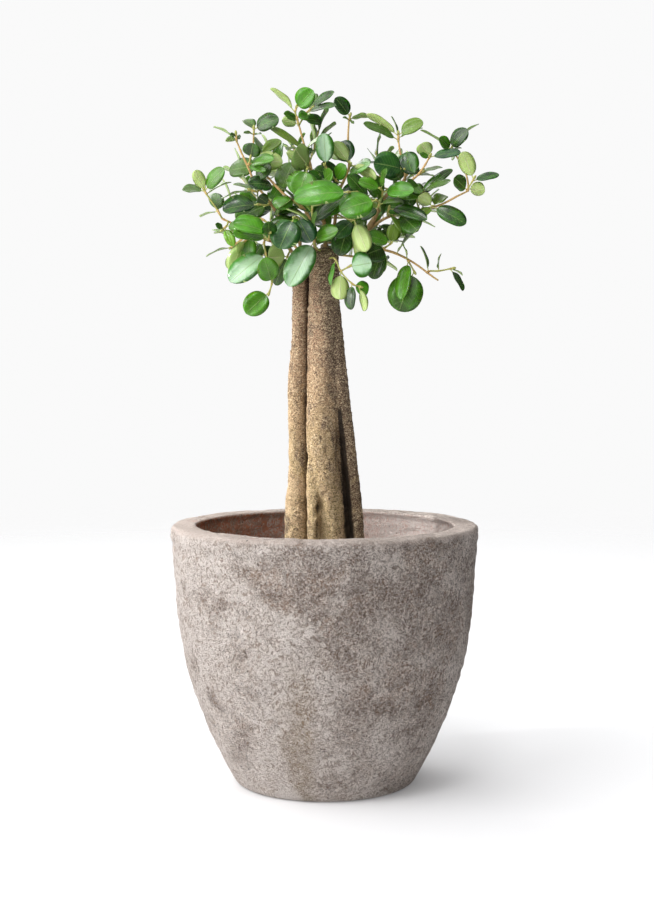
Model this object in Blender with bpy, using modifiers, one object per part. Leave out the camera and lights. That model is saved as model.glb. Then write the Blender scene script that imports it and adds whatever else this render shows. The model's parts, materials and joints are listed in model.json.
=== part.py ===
"""Small-leaved ficus trained as a tree, growing in a deep round terracotta pot.

Metres, +Z up. The origin is the middle of the pot's foot, and the front of the tree faces -Y.
The pot is turned, the soil fills it, three stems stand in sockets in the soil, limbs grow from
the stems and leafy sprigs from the limbs. Wood that grows out of other wood starts on its
parent's centre line and is trimmed there to a small gap.
"""

import math
from dataclasses import dataclass, field

import bmesh
import bpy
import numpy as np
from mathutils import Vector
from mathutils.bvhtree import BVHTree

MM = 0.001
FIT_GAP = 0.0003

# Pot.
POT_HEIGHT = 0.293
BELLY_RADIUS = 0.1685
FOOT_RADIUS = 0.1005
BELLY_HEIGHT = 0.235
WALL_POWER = 2.05
WALL = 0.0215
FLOOR = 0.024
FOOT_ROUNDING = 0.004
COLLAR_HEIGHT = 0.027
COLLAR_PROUD = 0.005
RIM_ROUNDING = 0.009
RIM_WIDTH = 0.0285
LIP_RADIUS = BELLY_RADIUS + COLLAR_PROUD - RIM_WIDTH
TURNED_STEPS = 36
WALL_POINTS = 5
DRAIN_COUNT = 3
DRAIN_RADIUS = 0.007
DRAIN_CIRCLE = 0.035
DRAIN_BEARING = 26.0
DRAIN_SIDES = 16

# Soil.
SOIL_BELOW_RIM = 0.045
SOIL_GAP = 0.0005
SOIL_CROWN = 0.004

# Wood and leaves.
STEM_DEPTH = 0.048
STEM_BEVEL = 4
LIMB_BEVEL = 1
LEAF_THICKNESS = 0.0010
PETIOLE_RADIUS = 0.0007
PETIOLE_SHARE = 0.15
PETIOLE_LIMIT = 0.006
LEAF_ARCH = 0.05
LEAF_SCALE = 1.05
BLADE_STATIONS = (0.0, 0.3, 0.76)
LEAF_CLEARANCE = 0.0005
OUTER_BLADE = 6
LEAF_RISE = 24.0
GOLDEN_ANGLE = 137.5

# Crown points are noted as an elevation sight from this station in front of the tree: x and z
# are where the line of sight crosses the plane y = 0, and y is the point's real depth.
STATION = Vector((0.0025, -1.8628, 0.5023))

# Shifts that a leaf tries, in order, until it is clear of what grows beside it: depth in
# millimetres, turn in degrees.
DEPTH_TRIES = (0, 5, -5, 10, -10, 16, -16, 23, -23, 31, -31)
TURN_TRIES = (0, 15, -15, 32, -32)
SIZE_TRIES = (1.0, 0.86, 0.72, 0.55, 0.4)

COLOURS = {
    "terracotta": ((0.52, 0.44, 0.36), 0.85),
    "soil": ((0.07, 0.045, 0.03), 0.95),
    "bark": ((0.30, 0.22, 0.15), 0.8),
    "twig": ((0.38, 0.26, 0.13), 0.7),
    "leaf": ((0.06, 0.22, 0.03), 0.35),
}


@dataclass
class Stem:
    """A stem that stands in the soil: rows of x, y, z and radius in millimetres, foot first."""

    name: str
    legs: list


@dataclass
class Limb:
    """Wood that grows from a parent piece: it starts at the share `at` of the parent's path.

    `path` holds sighted points in millimetres after the start; `spurs` are side twigs that
    start at a share of this limb's own path. `aside` moves the start off the parent's centre
    line, in millimetres along X and Y, where several pieces leave one thick stem.
    """

    name: str
    parent: str
    at: float
    path: list
    radii: tuple
    spurs: list = field(default_factory=list)
    aside: tuple = (0, 0)


@dataclass
class Sprig(Limb):
    """A leafy twig. Each leaf is (share of the path, tip x, y, z, width, turn of its face);
    a share over 1 is the share, plus 1, of the sprig's first spur.

    A turn of 0 shows the upper face to the front, 90 turns it to the sky, 180 shows the
    underside. `whorls` asks for that many leaves set round each twig by rule instead.
    """

    leaves: list = field(default_factory=list)
    whorls: int = 0
    leaf_size: tuple = (38, 26)


STEMS = [
    Stem("stem_left", [
        [(-30, 9, 235, 12.5), (-31.5, 8, 279, 13.2), (-31.5, 8, 319, 12.6), (-31, 8, 342, 11.6),
         (-30, 8, 387, 10.6), (-31, 8, 441, 11.4), (-29, 7, 500, 10.2), (-28, 6, 560, 9.6),
         (-27, 6, 598, 9)],
    ]),
    Stem("stem_front", [
        [(6, -4, 235, 18), (5, -5, 279, 20.5), (3.5, -5, 319, 20.5), (1.5, -5, 342, 20),
         (-1, -5, 387, 18.6), (-2.5, -5, 432, 17.6), (-1, -4, 500, 17.9), (-0.5, -4, 560, 17.5),
         (-1, -4, 597, 15.5)],
        [(39, 2, 235, 6.8), (38.7, 2, 279, 6.2), (34.5, 1, 319, 6.3), (32, 0, 342, 6.5),
         (26.7, -1, 387, 6.2), (22.5, -1, 425, 7.4), (16.5, -2, 470, 8.6), (9, -3, 520, 8),
         (2, -4, 560, 6)],
        [(-13, -15, 235, 8), (-12.5, -15, 279, 8.4), (-12, -14, 310, 7.5), (-8, -9, 340, 5)],
    ]),
    Stem("stem_back", [
        [(12, 36, 235, 13), (12, 35, 279, 13), (10, 33, 342, 12.5), (6, 30, 416, 12),
         (4, 28, 500, 11.5), (4, 27, 560, 11), (6, 26, 607, 10.5)],
    ]),
]

LIMBS = [
    Limb("limb_left_low", "stem_left", 0.97,
         [(-44, -6, 606), (-62, -14, 611), (-85, -18, 622), (-104, -20, 631), (-115, -22, 636)],
         (2.4, 1.0), [(0.87, [(-112, -21, 630), (-120, -20, 631)])], aside=(-3, -4)),
    Limb("limb_left_long", "stem_left", 1.0,
         [(-30, 4, 616), (-42, 0, 628), (-51, -4, 638), (-64, -8, 657), (-75, -11, 670),
          (-85, -14, 692), (-92, -16, 706), (-98, -17, 720)], (2.2, 1.0), aside=(-1, 3)),
    Limb("limb_left_mid", "stem_front", 0.99,
         [(-13, -6, 616), (-19, -10, 640), (-30, -14, 653), (-45, -14, 662), (-61, -10, 678),
          (-74, -4, 697), (-79, -2, 716), (-79, -2, 728)], (2.0, 1.0), aside=(-8, 0)),
    Limb("limb_top_left", "stem_front", 1.0,
         [(0, 0, 625), (-8, 3, 650), (-14, 4, 680), (-17, 4, 697), (-24, 4, 719),
          (-29, 4, 738)], (2.4, 1.0),
         [(0.87, [(-23, 0, 726), (-22, -1, 738), (-20.5, -1, 750)]),
          (0.72, [(-16, 6, 712), (-12.5, 8, 730), (-11.5, 8, 748)])], aside=(1, 4)),
    Limb("limb_top_center", "stem_back", 1.0,
         [(11, 22, 630), (13, 14, 660), (22, 10, 680), (27, 8, 692), (27, 8, 706),
          (26, 8, 722), (27, 8, 744)], (2.2, 1.0), aside=(-1, -4)),
    Limb("limb_right_main", "stem_back", 0.98,
         [(34, 18, 612), (52, 6, 627), (60, 2, 645), (69, 0, 662), (84, 0, 671), (90, 2, 681),
          (89, 4, 692), (84, 5, 708), (82, 5, 720)], (3.0, 1.0), aside=(5, 0)),
    Limb("limb_right_mid", "limb_right_main", 0.60,
         [(96, -6, 677), (104, -9, 684), (110, -10, 692), (116, -10, 702)], (1.5, 1.0)),
    Limb("limb_right_far", "limb_right_main", 0.30,
         [(72, 0, 638), (95, -2, 642), (119, -4, 648), (132, -6, 652), (150, -7, 661),
          (160, -7, 666)], (1.8, 1.0)),
    Limb("limb_right_up", "limb_right_far", 1.0,
         [(160, -3, 675), (158, 2, 684), (150, 6, 700), (142, 7, 711)], (1.1, 0.9)),
    Limb("limb_right_low", "stem_front", 0.985,
         [(24, -3, 603), (50, -6, 603), (76, -8, 598), (90, -9, 592), (115, -10, 575),
          (127, -10, 567)], (2.0, 0.9), aside=(8, 2)),
]

SPRIGS = [
    Sprig("sprig_left_tip", "limb_left_low", 1.0,
          [(-120, -23, 645), (-130, -25, 659), (-134, -26, 666)], (1.0, 0.8), leaves=[
              (1.0, -144, -32, 688, 12, 180), (1.0, -114, -36, 690, 17, 30),
              (1.0, -158, -26, 667, 14, 50), (0.9, -106, -16, 676, 14, 75),
              (0.2, -123, 4, 663, 15, 15), (0.25, -138, -8, 638, 12, 90)]),
    Sprig("sprig_left_stub", "limb_left_low", 0.90,
          [(-110, -27, 627), (-123, -30, 616)], (1.0, 0.8), leaves=[
              (0.35, -90, -44, 627, 11, 20), (0.45, -103, -36, 606, 10, 10),
              (0.5, -122, -40, 629, 6, 20)]),
    Sprig("sprig_left_face", "limb_left_low", 0.42,
          [(-63, -30, 612), (-61, -46, 619)], (1.1, 0.9), leaves=[
              (1.0, -100, -54, 631, 22, 35), (0.6, -101, -44, 618, 17, 40),
              (0.8, -63, -62, 631, 15, 10), (0.5, -95, -16, 641, 11, 150)]),
    Sprig("sprig_left_dark", "limb_left_long", 0.47,
          [(-64, -22, 650), (-73, -30, 651)], (1.0, 0.8), leaves=[
              (1.0, -112, -38, 646, 24, 40), (0.4, -97, -26, 634, 26, 40),
              (0.2, -74, 4, 659, 13, 20)]),
    Sprig("sprig_left_arch", "limb_left_long", 0.60,
          [(-76, -14, 665), (-82, -16, 667)], (0.9, 0.8), leaves=[
              (1.0, -114, -22, 659, 14, 85), (0.5, -101, -8, 673, 12, 72),
              (0.6, -84, 24, 678, 12, 100)]),
    Sprig("sprig_left_bud", "limb_left_long", 1.0,
          [(-99, -17, 730)], (0.9, 0.7), leaves=[
              (0.3, -122, -8, 737, 10, 90), (0.8, -105, -22, 728, 5, 30),
              (0.5, -94, -20, 726, 5, 20), (0.2, -110, -24, 723, 8, 100)]),
    Sprig("sprig_left_bright", "limb_left_long", 0.80,
          [(-84, -20, 697), (-83, -24, 702)], (0.9, 0.8), leaves=[
              (0.2, -59, -38, 702, 13, 35), (0.5, -49, -14, 699, 20, 150),
              (1.0, -80, -32, 718, 18, 5), (0.1, -39, -26, 682, 20, 40)]),
    Sprig("sprig_left_crown", "limb_left_mid", 1.0,
          [(-79, -3, 735)], (0.9, 0.8), leaves=[
              (0.9, -53, -12, 746, 18, 20), (0.8, -88, 8, 745, 13, 35),
              (0.1, -105, -10, 734, 12, 78), (0.1, -58, 18, 731, 10, 95)]),
    Sprig("sprig_left_olive", "limb_left_mid", 0.78,
          [(-72, 6, 706)], (0.9, 0.8), leaves=[
              (1.0, -50, 14, 721, 13, 30), (0.8, -52, 24, 706, 10, 80),
              (0.9, -76, 30, 724, 16, 60)]),
    Sprig("sprig_left_inner", "limb_left_mid", 0.30,
          [(-33, -22, 654)], (0.9, 0.8), leaves=[
              (0.9, -57, -26, 652, 17, 30), (0.6, -50, -18, 672, 9, 72),
              (0.5, -55, -6, 643, 9, 20)]),
    Sprig("sprig_left_center", "limb_left_mid", 0.17,
          [(-30, -26, 638), (-34, -36, 637)], (1.0, 0.8), leaves=[
              (1.0, -50, -50, 604, 30, 10), (0.4, -60, -28, 628, 18, 30),
              (0.8, -16, -44, 611, 22, 20)]),
    Sprig("sprig_top_left", "limb_top_left", 1.0,
          [(-31, 4, 747), (-33, 4, 753), (-32, 4, 757)], (0.9, 0.8), leaves=[
              (0.8, -59, 0, 778, 11, 120), (1.0, -14, -6, 776, 20, 10),
              (0.5, -19, 16, 749, 12, 20), (0.3, -45, -8, 751, 10, 35),
              (0.1, -47, 6, 744, 12, 150)]),
    Sprig("sprig_top_pair", "limb_top_left", 0.965,
          [(-24, 14, 749), (-15, 14, 757)], (0.9, 0.8), leaves=[
              (1.0, 9, 6, 775, 11, 40), (0.8, 11, -4, 761, 10, 45),
              (0.9, -12, 24, 773, 14, 30), (0.5, -4, 18, 743, 12, 20)]),
    Sprig("sprig_top_mid", "limb_top_left", 0.80,
          [(-24, -4, 712)], (0.9, 0.8), leaves=[
              (0.9, -61, -10, 735, 13, 52), (0.5, -2, -14, 726, 11, 70),
              (0.2, -2, 22, 712, 15, 20), (0.8, -42, 22, 713, 10, 88)]),
    Sprig("sprig_top_round", "limb_top_left", 0.66,
          [(-18, -12, 692), (-19, -18, 691)], (0.9, 0.8), leaves=[
              (1.0, -29, -28, 662, 30, 8), (0.5, -41, 4, 708, 12, 150),
              (0.3, -43, 10, 694, 10, 80), (0.9, -9, -14, 672, 16, 20)]),
    Sprig("sprig_center_cross", "limb_top_center", 0.47,
          [(12, 0, 678), (3, -10, 689), (1, -13, 693)], (1.0, 0.8), leaves=[
              (1.0, -1, -16, 728, 18, 5), (0.6, -10, -10, 690, 13, 25),
              (0.4, 22, -14, 694, 15, 25)]),
    Sprig("sprig_center_top", "limb_top_center", 1.0,
          [(28, 8, 748)], (0.9, 0.8), leaves=[
              (1.0, 13, 0, 768, 15, 15), (0.2, 11, 20, 751, 9, 80),
              (0.2, 39, 16, 735, 9, 60), (0.4, 48, 8, 749, 8, 90)]),
    Sprig("sprig_center_side", "limb_top_center", 0.63,
          [(29, 0, 694), (29, -6, 696)], (0.9, 0.8), leaves=[
              (0.8, 10, -14, 719, 15, 160), (1.0, 19, -2, 720, 21, 10),
              (0.4, 58, 2, 698, 11, 70), (0.9, 57, -16, 681, 12, 150)]),
    Sprig("sprig_right_top", "limb_right_main", 1.0,
          [(82, 5, 728)], (0.9, 0.8), leaves=[
              (0.9, 48, 0, 750, 11, 130), (0.3, 45, -8, 740, 13, 45),
              (1.0, 108, -2, 742, 16, 25), (0.6, 108, 12, 735, 10, 75),
              (0.9, 75, 14, 748, 6, 70)]),
    Sprig("sprig_right_round", "limb_right_main", 0.80,
          [(89, -4, 690)], (0.9, 0.8), leaves=[
              (0.9, 57, -22, 697, 27, 10), (0.3, 41, -6, 718, 15, 25),
              (0.2, 70, 18, 714, 10, 85), (0.32, 97, 20, 714, 10, 85)]),
    Sprig("sprig_right_bright", "limb_right_main", 0.47,
          [(65, -14, 665), (63, -20, 668)], (1.0, 0.8), leaves=[
              (0.8, 98, -30, 666, 18, 25), (1.0, 39, -26, 677, 13, 20),
              (1.0, 68, -30, 690, 11, 60), (0.6, 62, -22, 646, 8, 100)]),
    Sprig("sprig_right_face", "limb_right_main", 0.38,
          [(61, -24, 652), (58, -44, 656)], (1.0, 0.8), leaves=[
              (1.0, 19, -56, 645, 28, 20), (0.5, 42, -24, 635, 13, 30),
              (0.6, 86, -24, 655, 12, 55)]),
    Sprig("sprig_center_large", "limb_right_main", 0.33,
          [(48, -20, 660), (36, -38, 665), (27, -50, 665)], (1.0, 0.8), leaves=[
              (1.0, -31, -60, 659, 27, 28), (0.5, 27, -26, 683, 16, 20),
              (0.8, -4, -38, 641, 15, 50)]),
    Sprig("sprig_right_dark", "limb_right_far", 0.20,
          [(72, -12, 648)], (0.9, 0.8), leaves=[
              (0.9, 112, -30, 636, 16, 35), (0.4, 121, 10, 628, 11, 92),
              (0.6, 88, -26, 618, 15, 60)]),
    Sprig("sprig_front_shoot", "stem_front", 1.0,
          [(-12, -22, 605), (-13, -32, 618), (-14, -36, 632), (-14, -37, 646)], (1.4, 0.8),
          leaves=[
              (1.0, -9, -62, 666, 24, 175), (0.72, -42, -44, 645, 14, 45),
              (0.45, -39, -52, 631, 15, 25), (0.50, -10, -46, 642, 8, 60),
              (0.92, -24, -34, 653, 6, 60), (0.40, 14, -46, 622, 17, 25),
              (0.32, -39, -46, 562, 26, 10)], aside=(-8, -8)),
    Sprig("sprig_front_hang", "stem_front", 0.975,
          [(4, -26, 598), (12, -30, 590), (27, -34, 582)], (1.3, 0.9),
          [(0.62, [(20, -36, 572), (32, -38, 562), (38, -38, 560)])], leaves=[
              (1.0, 51, -44, 586, 25, 0), (1.35, 17, -46, 547, 18, 178),
              (0.62, 6, -40, 563, 9, 60), (1.85, 48, -34, 554, 15, 25),
              (1.8, 29, -48, 536, 13, 20), (2.0, 45, -50, 534, 9, 150)], aside=(1, -10)),
    Sprig("sprig_right_center", "limb_top_center", 0.22,
          [(24, 0, 634), (33, -26, 634), (33, -40, 634)], (1.1, 0.8), leaves=[
              (1.0, 46, -54, 601, 18, 172), (0.75, 13, -36, 616, 18, 20),
              (0.6, 17, -26, 596, 23, 15), (0.9, 41, -38, 588, 13, 165)]),
    Sprig("sprig_right_under", "limb_right_low", 0.45,
          [(72, -20, 606), (74, -26, 608)], (0.9, 0.8), leaves=[
              (0.4, 46, -28, 595, 27, 20), (1.0, 48, -36, 617, 16, 30),
              (0.9, 79, -20, 628, 14, 25), (0.2, 54, -10, 570, 19, 15),
              (0.3, 64, 4, 578, 12, 30)]),
    Sprig("sprig_right_hang", "limb_right_low", 0.68,
          [(99, -16, 580), (100, -18, 577)], (0.9, 0.8), leaves=[
              (1.0, 84, -26, 535, 34, 8), (0.2, 87, -34, 547, 16, 30),
              (0.1, 81, -22, 633, 12, 115)]),
    Sprig("sprig_right_tail", "limb_right_low", 0.88,
          [(117, -7, 577), (126, -6, 577), (142, -5, 580)], (0.9, 0.7), leaves=[
              (0.12, 108, 2, 604, 8, 70), (0.5, 129, 4, 596, 6, 80),
              (0.95, 155, -14, 557, 9, 45), (1.0, 154, 2, 573, 7, 85)]),
    Sprig("sprig_right_mid_tip", "limb_right_mid", 1.0,
          [(117, -11, 704)], (0.9, 0.8), leaves=[
              (0.9, 108, -20, 718, 16, 165), (0.4, 92, -14, 714, 13, 30),
              (0.8, 150, -18, 708, 14, 45)]),
    Sprig("sprig_right_mid_side", "limb_right_mid", 0.55,
          [(109, -4, 687)], (0.9, 0.8), leaves=[
              (0.9, 92, -20, 690, 13, 35), (0.8, 130, 4, 692, 11, 65),
              (0.5, 124, 12, 682, 11, 75)]),
    Sprig("sprig_right_inner", "limb_right_far", 0.42,
          [(103, -10, 656), (107, -13, 664)], (0.9, 0.8), leaves=[
              (1.0, 139, -14, 677, 13, 55), (0.8, 93, -18, 678, 10, 30),
              (0.9, 112, 8, 676, 8, 40), (0.7, 140, 2, 690, 12, 35)]),
    Sprig("sprig_right_up_tip", "limb_right_up", 1.0,
          [(139, 7, 713)], (0.8, 0.7), leaves=[
              (0.9, 158, -4, 733, 17, 30), (0.6, 128, -6, 724, 12, 20),
              (0.3, 108, 8, 732, 10, 90), (0.4, 168, 14, 717, 9, 90),
              (0.8, 169, 18, 740, 9, 90), (0.2, 145, -8, 686, 14, 160)]),
    Sprig("sprig_right_far_tip", "limb_right_far", 0.975,
          [(162, -16, 672), (166, -18, 679)], (0.9, 0.8), leaves=[
              (1.0, 154, -22, 708, 16, 172), (0.9, 193, -14, 684, 11, 42),
              (0.2, 145, -20, 680, 16, 25), (0.3, 178, -14, 667, 15, 150)]),
    Sprig("sprig_right_far_side", "limb_right_far", 0.66,
          [(120, -12, 649)], (0.9, 0.8), leaves=[
              (0.9, 106, -20, 661, 14, 160), (0.8, 134, 2, 661, 15, 25),
              (0.9, 156, -20, 631, 19, 25), (0.8, 106, -18, 636, 12, 40)]),
    Sprig("sprig_left_hang", "limb_left_low", 0.50,
          [(-68, -22, 606), (-65, -30, 592), (-62, -32, 578), (-59, -33, 562), (-62, -34, 554)],
          (1.1, 0.8), leaves=[
              (0.33, -104, -48, 566, 26, 20), (0.85, -67, -50, 590, 21, 5),
              (1.0, -87, -42, 531, 23, 5), (0.38, -78, -34, 591, 8, 60),
              (0.1, -80, -12, 592, 15, 25), (0.12, -58, -14, 589, 12, 15)]),
    Sprig("sprig_left_under", "limb_left_low", 0.66,
          [(-84, -24, 614), (-92, -25, 609)], (0.9, 0.8), leaves=[
              (0.3, -86, -26, 591, 17, 15), (1.0, -104, -28, 578, 17, 160),
              (0.8, -98, -34, 598, 9, 140)]),
    Sprig("sprig_left_trunk", "limb_left_low", 0.16,
          [(-42, -18, 593)], (0.9, 0.8), leaves=[
              (0.9, -62, -28, 592, 24, 168), (0.6, -55, -8, 563, 15, 20)]),
]

# Sprays behind the front face of the crown: three twigs each, with leaves set round them.
SPRAYS = [
    Sprig("spray_back_left", "stem_left", 0.985,
          [(-50, 42, 622), (-78, 62, 640), (-104, 72, 652)], (2.0, 0.9),
          [(0.45, [(-80, 84, 662), (-94, 100, 684)]), (0.6, [(-88, 60, 616), (-104, 76, 604)])],
          aside=(1, 5), whorls=7),
    Sprig("spray_back_high", "stem_back", 0.985,
          [(-8, 44, 640), (-26, 58, 676), (-34, 62, 712)], (2.2, 0.9),
          [(0.55, [(-46, 78, 684), (-60, 90, 700)]), (0.7, [(-12, 74, 712), (-6, 82, 736)])],
          aside=(-6, 2), whorls=7),
    Sprig("spray_back_center", "stem_back", 0.97,
          [(4, 66, 622), (2, 92, 636), (0, 118, 650)], (2.0, 0.9),
          [(0.5, [(30, 100, 640), (50, 118, 656)]), (0.62, [(-28, 106, 630), (-48, 118, 622)])],
          aside=(-1, 7), whorls=7),
    Sprig("spray_back_right", "limb_right_main", 0.08,
          [(56, 52, 638), (76, 72, 660), (92, 80, 684)], (2.0, 0.9),
          [(0.5, [(84, 72, 640), (112, 78, 646)]), (0.6, [(62, 88, 680), (58, 96, 706)])],
          whorls=7),
    Sprig("spray_back_low", "stem_back", 0.955,
          [(26, 56, 594), (44, 72, 592), (62, 82, 586)], (1.8, 0.9),
          [(0.45, [(50, 54, 606), (70, 50, 612)])], aside=(6, 6), whorls=7),
]


def material(name):
    """A Principled material with the colour and roughness listed under this name."""
    made = bpy.data.materials.get(name)
    if made is None:
        made = bpy.data.materials.new(name)
        made.use_nodes = True
        colour, roughness = COLOURS[name]
        shader = made.node_tree.nodes["Principled BSDF"]
        shader.inputs["Base Color"].default_value = (*colour, 1.0)
        shader.inputs["Roughness"].default_value = roughness
        shader.inputs["Metallic"].default_value = 0.0
    return made


def new_object(name, data, collection, finish=None):
    """Links a new object that holds this data, with its material."""
    made = bpy.data.objects.new(name, data)
    collection.objects.link(made)
    if finish:
        data.materials.append(material(finish))
    return made


def as_guide(obj):
    """Leaves a cutter out of the model."""
    obj.hide_render = True
    obj.display_type = "WIRE"
    return obj


def sighted(point):
    """Carries a crown point in millimetres from where its sight crosses y = 0 to its depth."""
    x, depth, z = (value * MM for value in point)
    reach = (depth - STATION.y) / -STATION.y
    return Vector((STATION.x + (x - STATION.x) * reach, depth, STATION.z + (z - STATION.z) * reach))


def turned(name, profile, collection, finish=None):
    """A solid of revolution about Z from (radius, height) points, outer side top to bottom."""
    mesh = bpy.data.meshes.new(name)
    points = [(radius, 0.0, height) for radius, height in profile]
    mesh.from_pydata(points, [(i, i + 1) for i in range(len(points) - 1)], [])
    made = new_object(name, mesh, collection, finish)
    screw = made.modifiers.new("Turn", "SCREW")
    screw.axis = "Z"
    screw.steps = TURNED_STEPS
    screw.render_steps = TURNED_STEPS
    screw.use_merge_vertices = True
    screw.merge_threshold = 0.0001
    return made


def baked(obj, collection, finish=None):
    """Replaces an object by the welded mesh that it evaluates to."""
    depsgraph = bpy.context.evaluated_depsgraph_get()
    mesh = bpy.data.meshes.new_from_object(obj.evaluated_get(depsgraph))
    welded = bmesh.new()
    welded.from_mesh(mesh)
    bmesh.ops.remove_doubles(welded, verts=welded.verts, dist=0.00001)
    bmesh.ops.recalc_face_normals(welded, faces=welded.faces)
    welded.to_mesh(mesh)
    welded.free()
    mesh.materials.clear()
    name, place = obj.name, obj.matrix_world.copy()
    bpy.data.objects.remove(obj)
    made = new_object(name, mesh, collection, finish)
    made.matrix_world = place
    return made


def tube(name, path, radii, bevel, collection, finish=None, grow=0.0):
    """A round rod through these points; `grow` makes it that much fatter and longer each end."""
    points = [Vector(point) for point in path]
    points[0] = points[0] - (points[1] - points[0]).normalized() * grow
    points[-1] = points[-1] + (points[-1] - points[-2]).normalized() * grow
    curve = bpy.data.curves.new(name, "CURVE")
    curve.dimensions = "3D"
    curve.bevel_depth = 1.0
    curve.bevel_resolution = bevel
    curve.use_fill_caps = True
    spline = curve.splines.new("POLY")
    spline.points.add(len(points) - 1)
    for knot, point, radius in zip(spline.points, points, radii):
        knot.co = (*point, 1.0)
        knot.radius = radius + grow
    return baked(new_object(name, curve, collection), collection, finish)


def boolean(obj, operation, target):
    """Joins or cuts an object with another object or with all of a collection."""
    step = obj.modifiers.new(operation.title(), "BOOLEAN")
    step.operation = operation
    if isinstance(target, bpy.types.Collection):
        step.operand_type = "COLLECTION"
        step.collection = target
    else:
        step.object = target


def wall_radius(height):
    """The pot's outer wall: a curve that swells from the foot and stands upright at the belly."""
    share = max(0.0, 1.0 - height / BELLY_HEIGHT)
    return BELLY_RADIUS - (BELLY_RADIUS - FOOT_RADIUS) * share**WALL_POWER


def arc(centre, radius, start, end, count=3):
    """Points on an arc in the profile plane, with angles in degrees from +X towards +Z."""
    angles = [math.radians(start + (end - start) * i / (count - 1)) for i in range(count)]
    return [(centre[0] + radius * math.cos(a), centre[1] + radius * math.sin(a)) for a in angles]


def inner_wall():
    """The pot's inside from its floor to the foot of its collar, as (radius, height) points."""
    top = POT_HEIGHT - COLLAR_HEIGHT
    heights = [FLOOR + (top - FLOOR) * i / WALL_POINTS for i in range(WALL_POINTS + 1)]
    return [(wall_radius(height) - WALL, height) for height in heights]


def inside_the_wall(low, high, gap):
    """A side from low to high that follows the pot's inner wall at a gap."""
    wall = inner_wall()
    heights = [low] + [height for _, height in wall if low < height < high] + [high]
    radii = np.interp(heights, [height for _, height in wall], [radius for radius, _ in wall])
    return [(float(radius) - gap, height) for radius, height in zip(radii, heights)]


def build_pot(collection, guides):
    """The pot: floor, swelling wall, collar and rounded rim, with drain holes off its centre."""
    collar = BELLY_RADIUS + COLLAR_PROUD
    collar_low = POT_HEIGHT - COLLAR_HEIGHT
    rim = POT_HEIGHT - RIM_ROUNDING
    profile = [(0.0, FLOOR)]
    profile += inner_wall()
    profile += arc((LIP_RADIUS + RIM_ROUNDING, rim), RIM_ROUNDING, 180, 90)
    profile += arc((collar - RIM_ROUNDING, rim), RIM_ROUNDING, 90, 0)
    profile += [(collar, collar_low + COLLAR_PROUD), (BELLY_RADIUS, collar_low - 0.5 * COLLAR_PROUD)]
    heights = [BELLY_HEIGHT * (1.0 - i / (WALL_POINTS + 1)) for i in range(WALL_POINTS + 1)]
    profile += [(wall_radius(height), height) for height in heights]
    foot = (wall_radius(FOOT_ROUNDING) - FOOT_ROUNDING, FOOT_ROUNDING)
    profile += arc(foot, FOOT_ROUNDING, 0, -90)
    profile += [(0.0, 0.0)]
    pot = turned("pot", profile, collection, "terracotta")
    for i in range(DRAIN_COUNT):
        angle = math.radians(DRAIN_BEARING) + math.tau * i / DRAIN_COUNT
        bpy.ops.mesh.primitive_cylinder_add(
            vertices=DRAIN_SIDES, radius=DRAIN_RADIUS, depth=2.0 * FLOOR,
            location=(DRAIN_CIRCLE * math.cos(angle), DRAIN_CIRCLE * math.sin(angle), 0.5 * FLOOR))
        drill = as_guide(bpy.context.object)
        drill.name = f"drain_drill_{i + 1}"
        bpy.context.collection.objects.unlink(drill)
        guides.objects.link(drill)
        boolean(pot, "DIFFERENCE", drill)


def build_soil(collection, sockets):
    """The soil: it fills the pot inside to below the rim, with a socket for each stem."""
    surface = POT_HEIGHT - SOIL_BELOW_RIM
    bottom = FLOOR + FIT_GAP
    wall = inside_the_wall(bottom, surface, SOIL_GAP)
    profile = [(0.0, surface + SOIL_CROWN), (0.5 * wall[-1][0], surface + 0.8 * SOIL_CROWN)]
    profile += wall[::-1]
    profile += [(0.0, bottom)]
    soil = turned("soil", profile, collection, "soil")
    for socket in sockets:
        boolean(soil, "DIFFERENCE", socket)


def stem_path(leg):
    """A stem's rows as points and radii in metres, with its foot at the set depth in the soil."""
    rows = [(Vector(row[:3]) * MM, row[3] * MM) for row in leg]
    foot, radius = rows[0]
    rows[0] = (Vector((foot.x, foot.y, POT_HEIGHT - SOIL_BELOW_RIM - STEM_DEPTH)), radius)
    return [point for point, _ in rows], [radius for _, radius in rows]


def build_stem(stem, collection, guides, wood, neighbours):
    """A stem and the fatter copies of it that trim its limbs and make its socket in the soil."""
    united = None
    fat = None
    for number, leg in enumerate(stem.legs):
        path, radii = stem_path(leg)
        part = tube(f"{stem.name}_leg_{number}", path, radii, STEM_BEVEL, guides)
        thick = tube(f"{stem.name}_gap_{number}", path, radii, STEM_BEVEL, guides, grow=FIT_GAP)
        neighbours.add_object(stem.name, as_guide(thick))
        if united is None:
            guides.objects.unlink(part)
            collection.objects.link(part)
            part.name = stem.name
            part.data.materials.append(material("bark"))
            united, fat = part, thick
            wood[stem.name] = (path, radii, thick)
        else:
            boolean(united, "UNION", as_guide(part))
            boolean(fat, "UNION", thick)
    return fat


def on_path(path, share):
    """The point at this share of a path's length."""
    points = np.array([tuple(point) for point in path])
    lengths = np.linalg.norm(np.diff(points, axis=0), axis=1)
    along = np.concatenate(([0.0], np.cumsum(lengths))) / lengths.sum()
    return Vector([float(np.interp(share, along, points[:, axis])) for axis in range(3)])


def limb_paths(limb, wood):
    """The paths and radii of a limb's main twig and of its spurs, in metres."""
    start = on_path(wood[limb.parent][0], limb.at) + Vector((*limb.aside, 0.0)) * MM
    main = [start] + [sighted(point) for point in limb.path]
    thick, thin = (radius * MM for radius in limb.radii)
    paths = [(main, list(np.linspace(thick, thin, len(main))))]
    for share, points in limb.spurs:
        spur = [on_path(main, share)] + [sighted(point) for point in points]
        paths.append((spur, list(np.linspace(0.9 * thin, 0.8 * thin, len(spur)))))
    return paths


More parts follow.
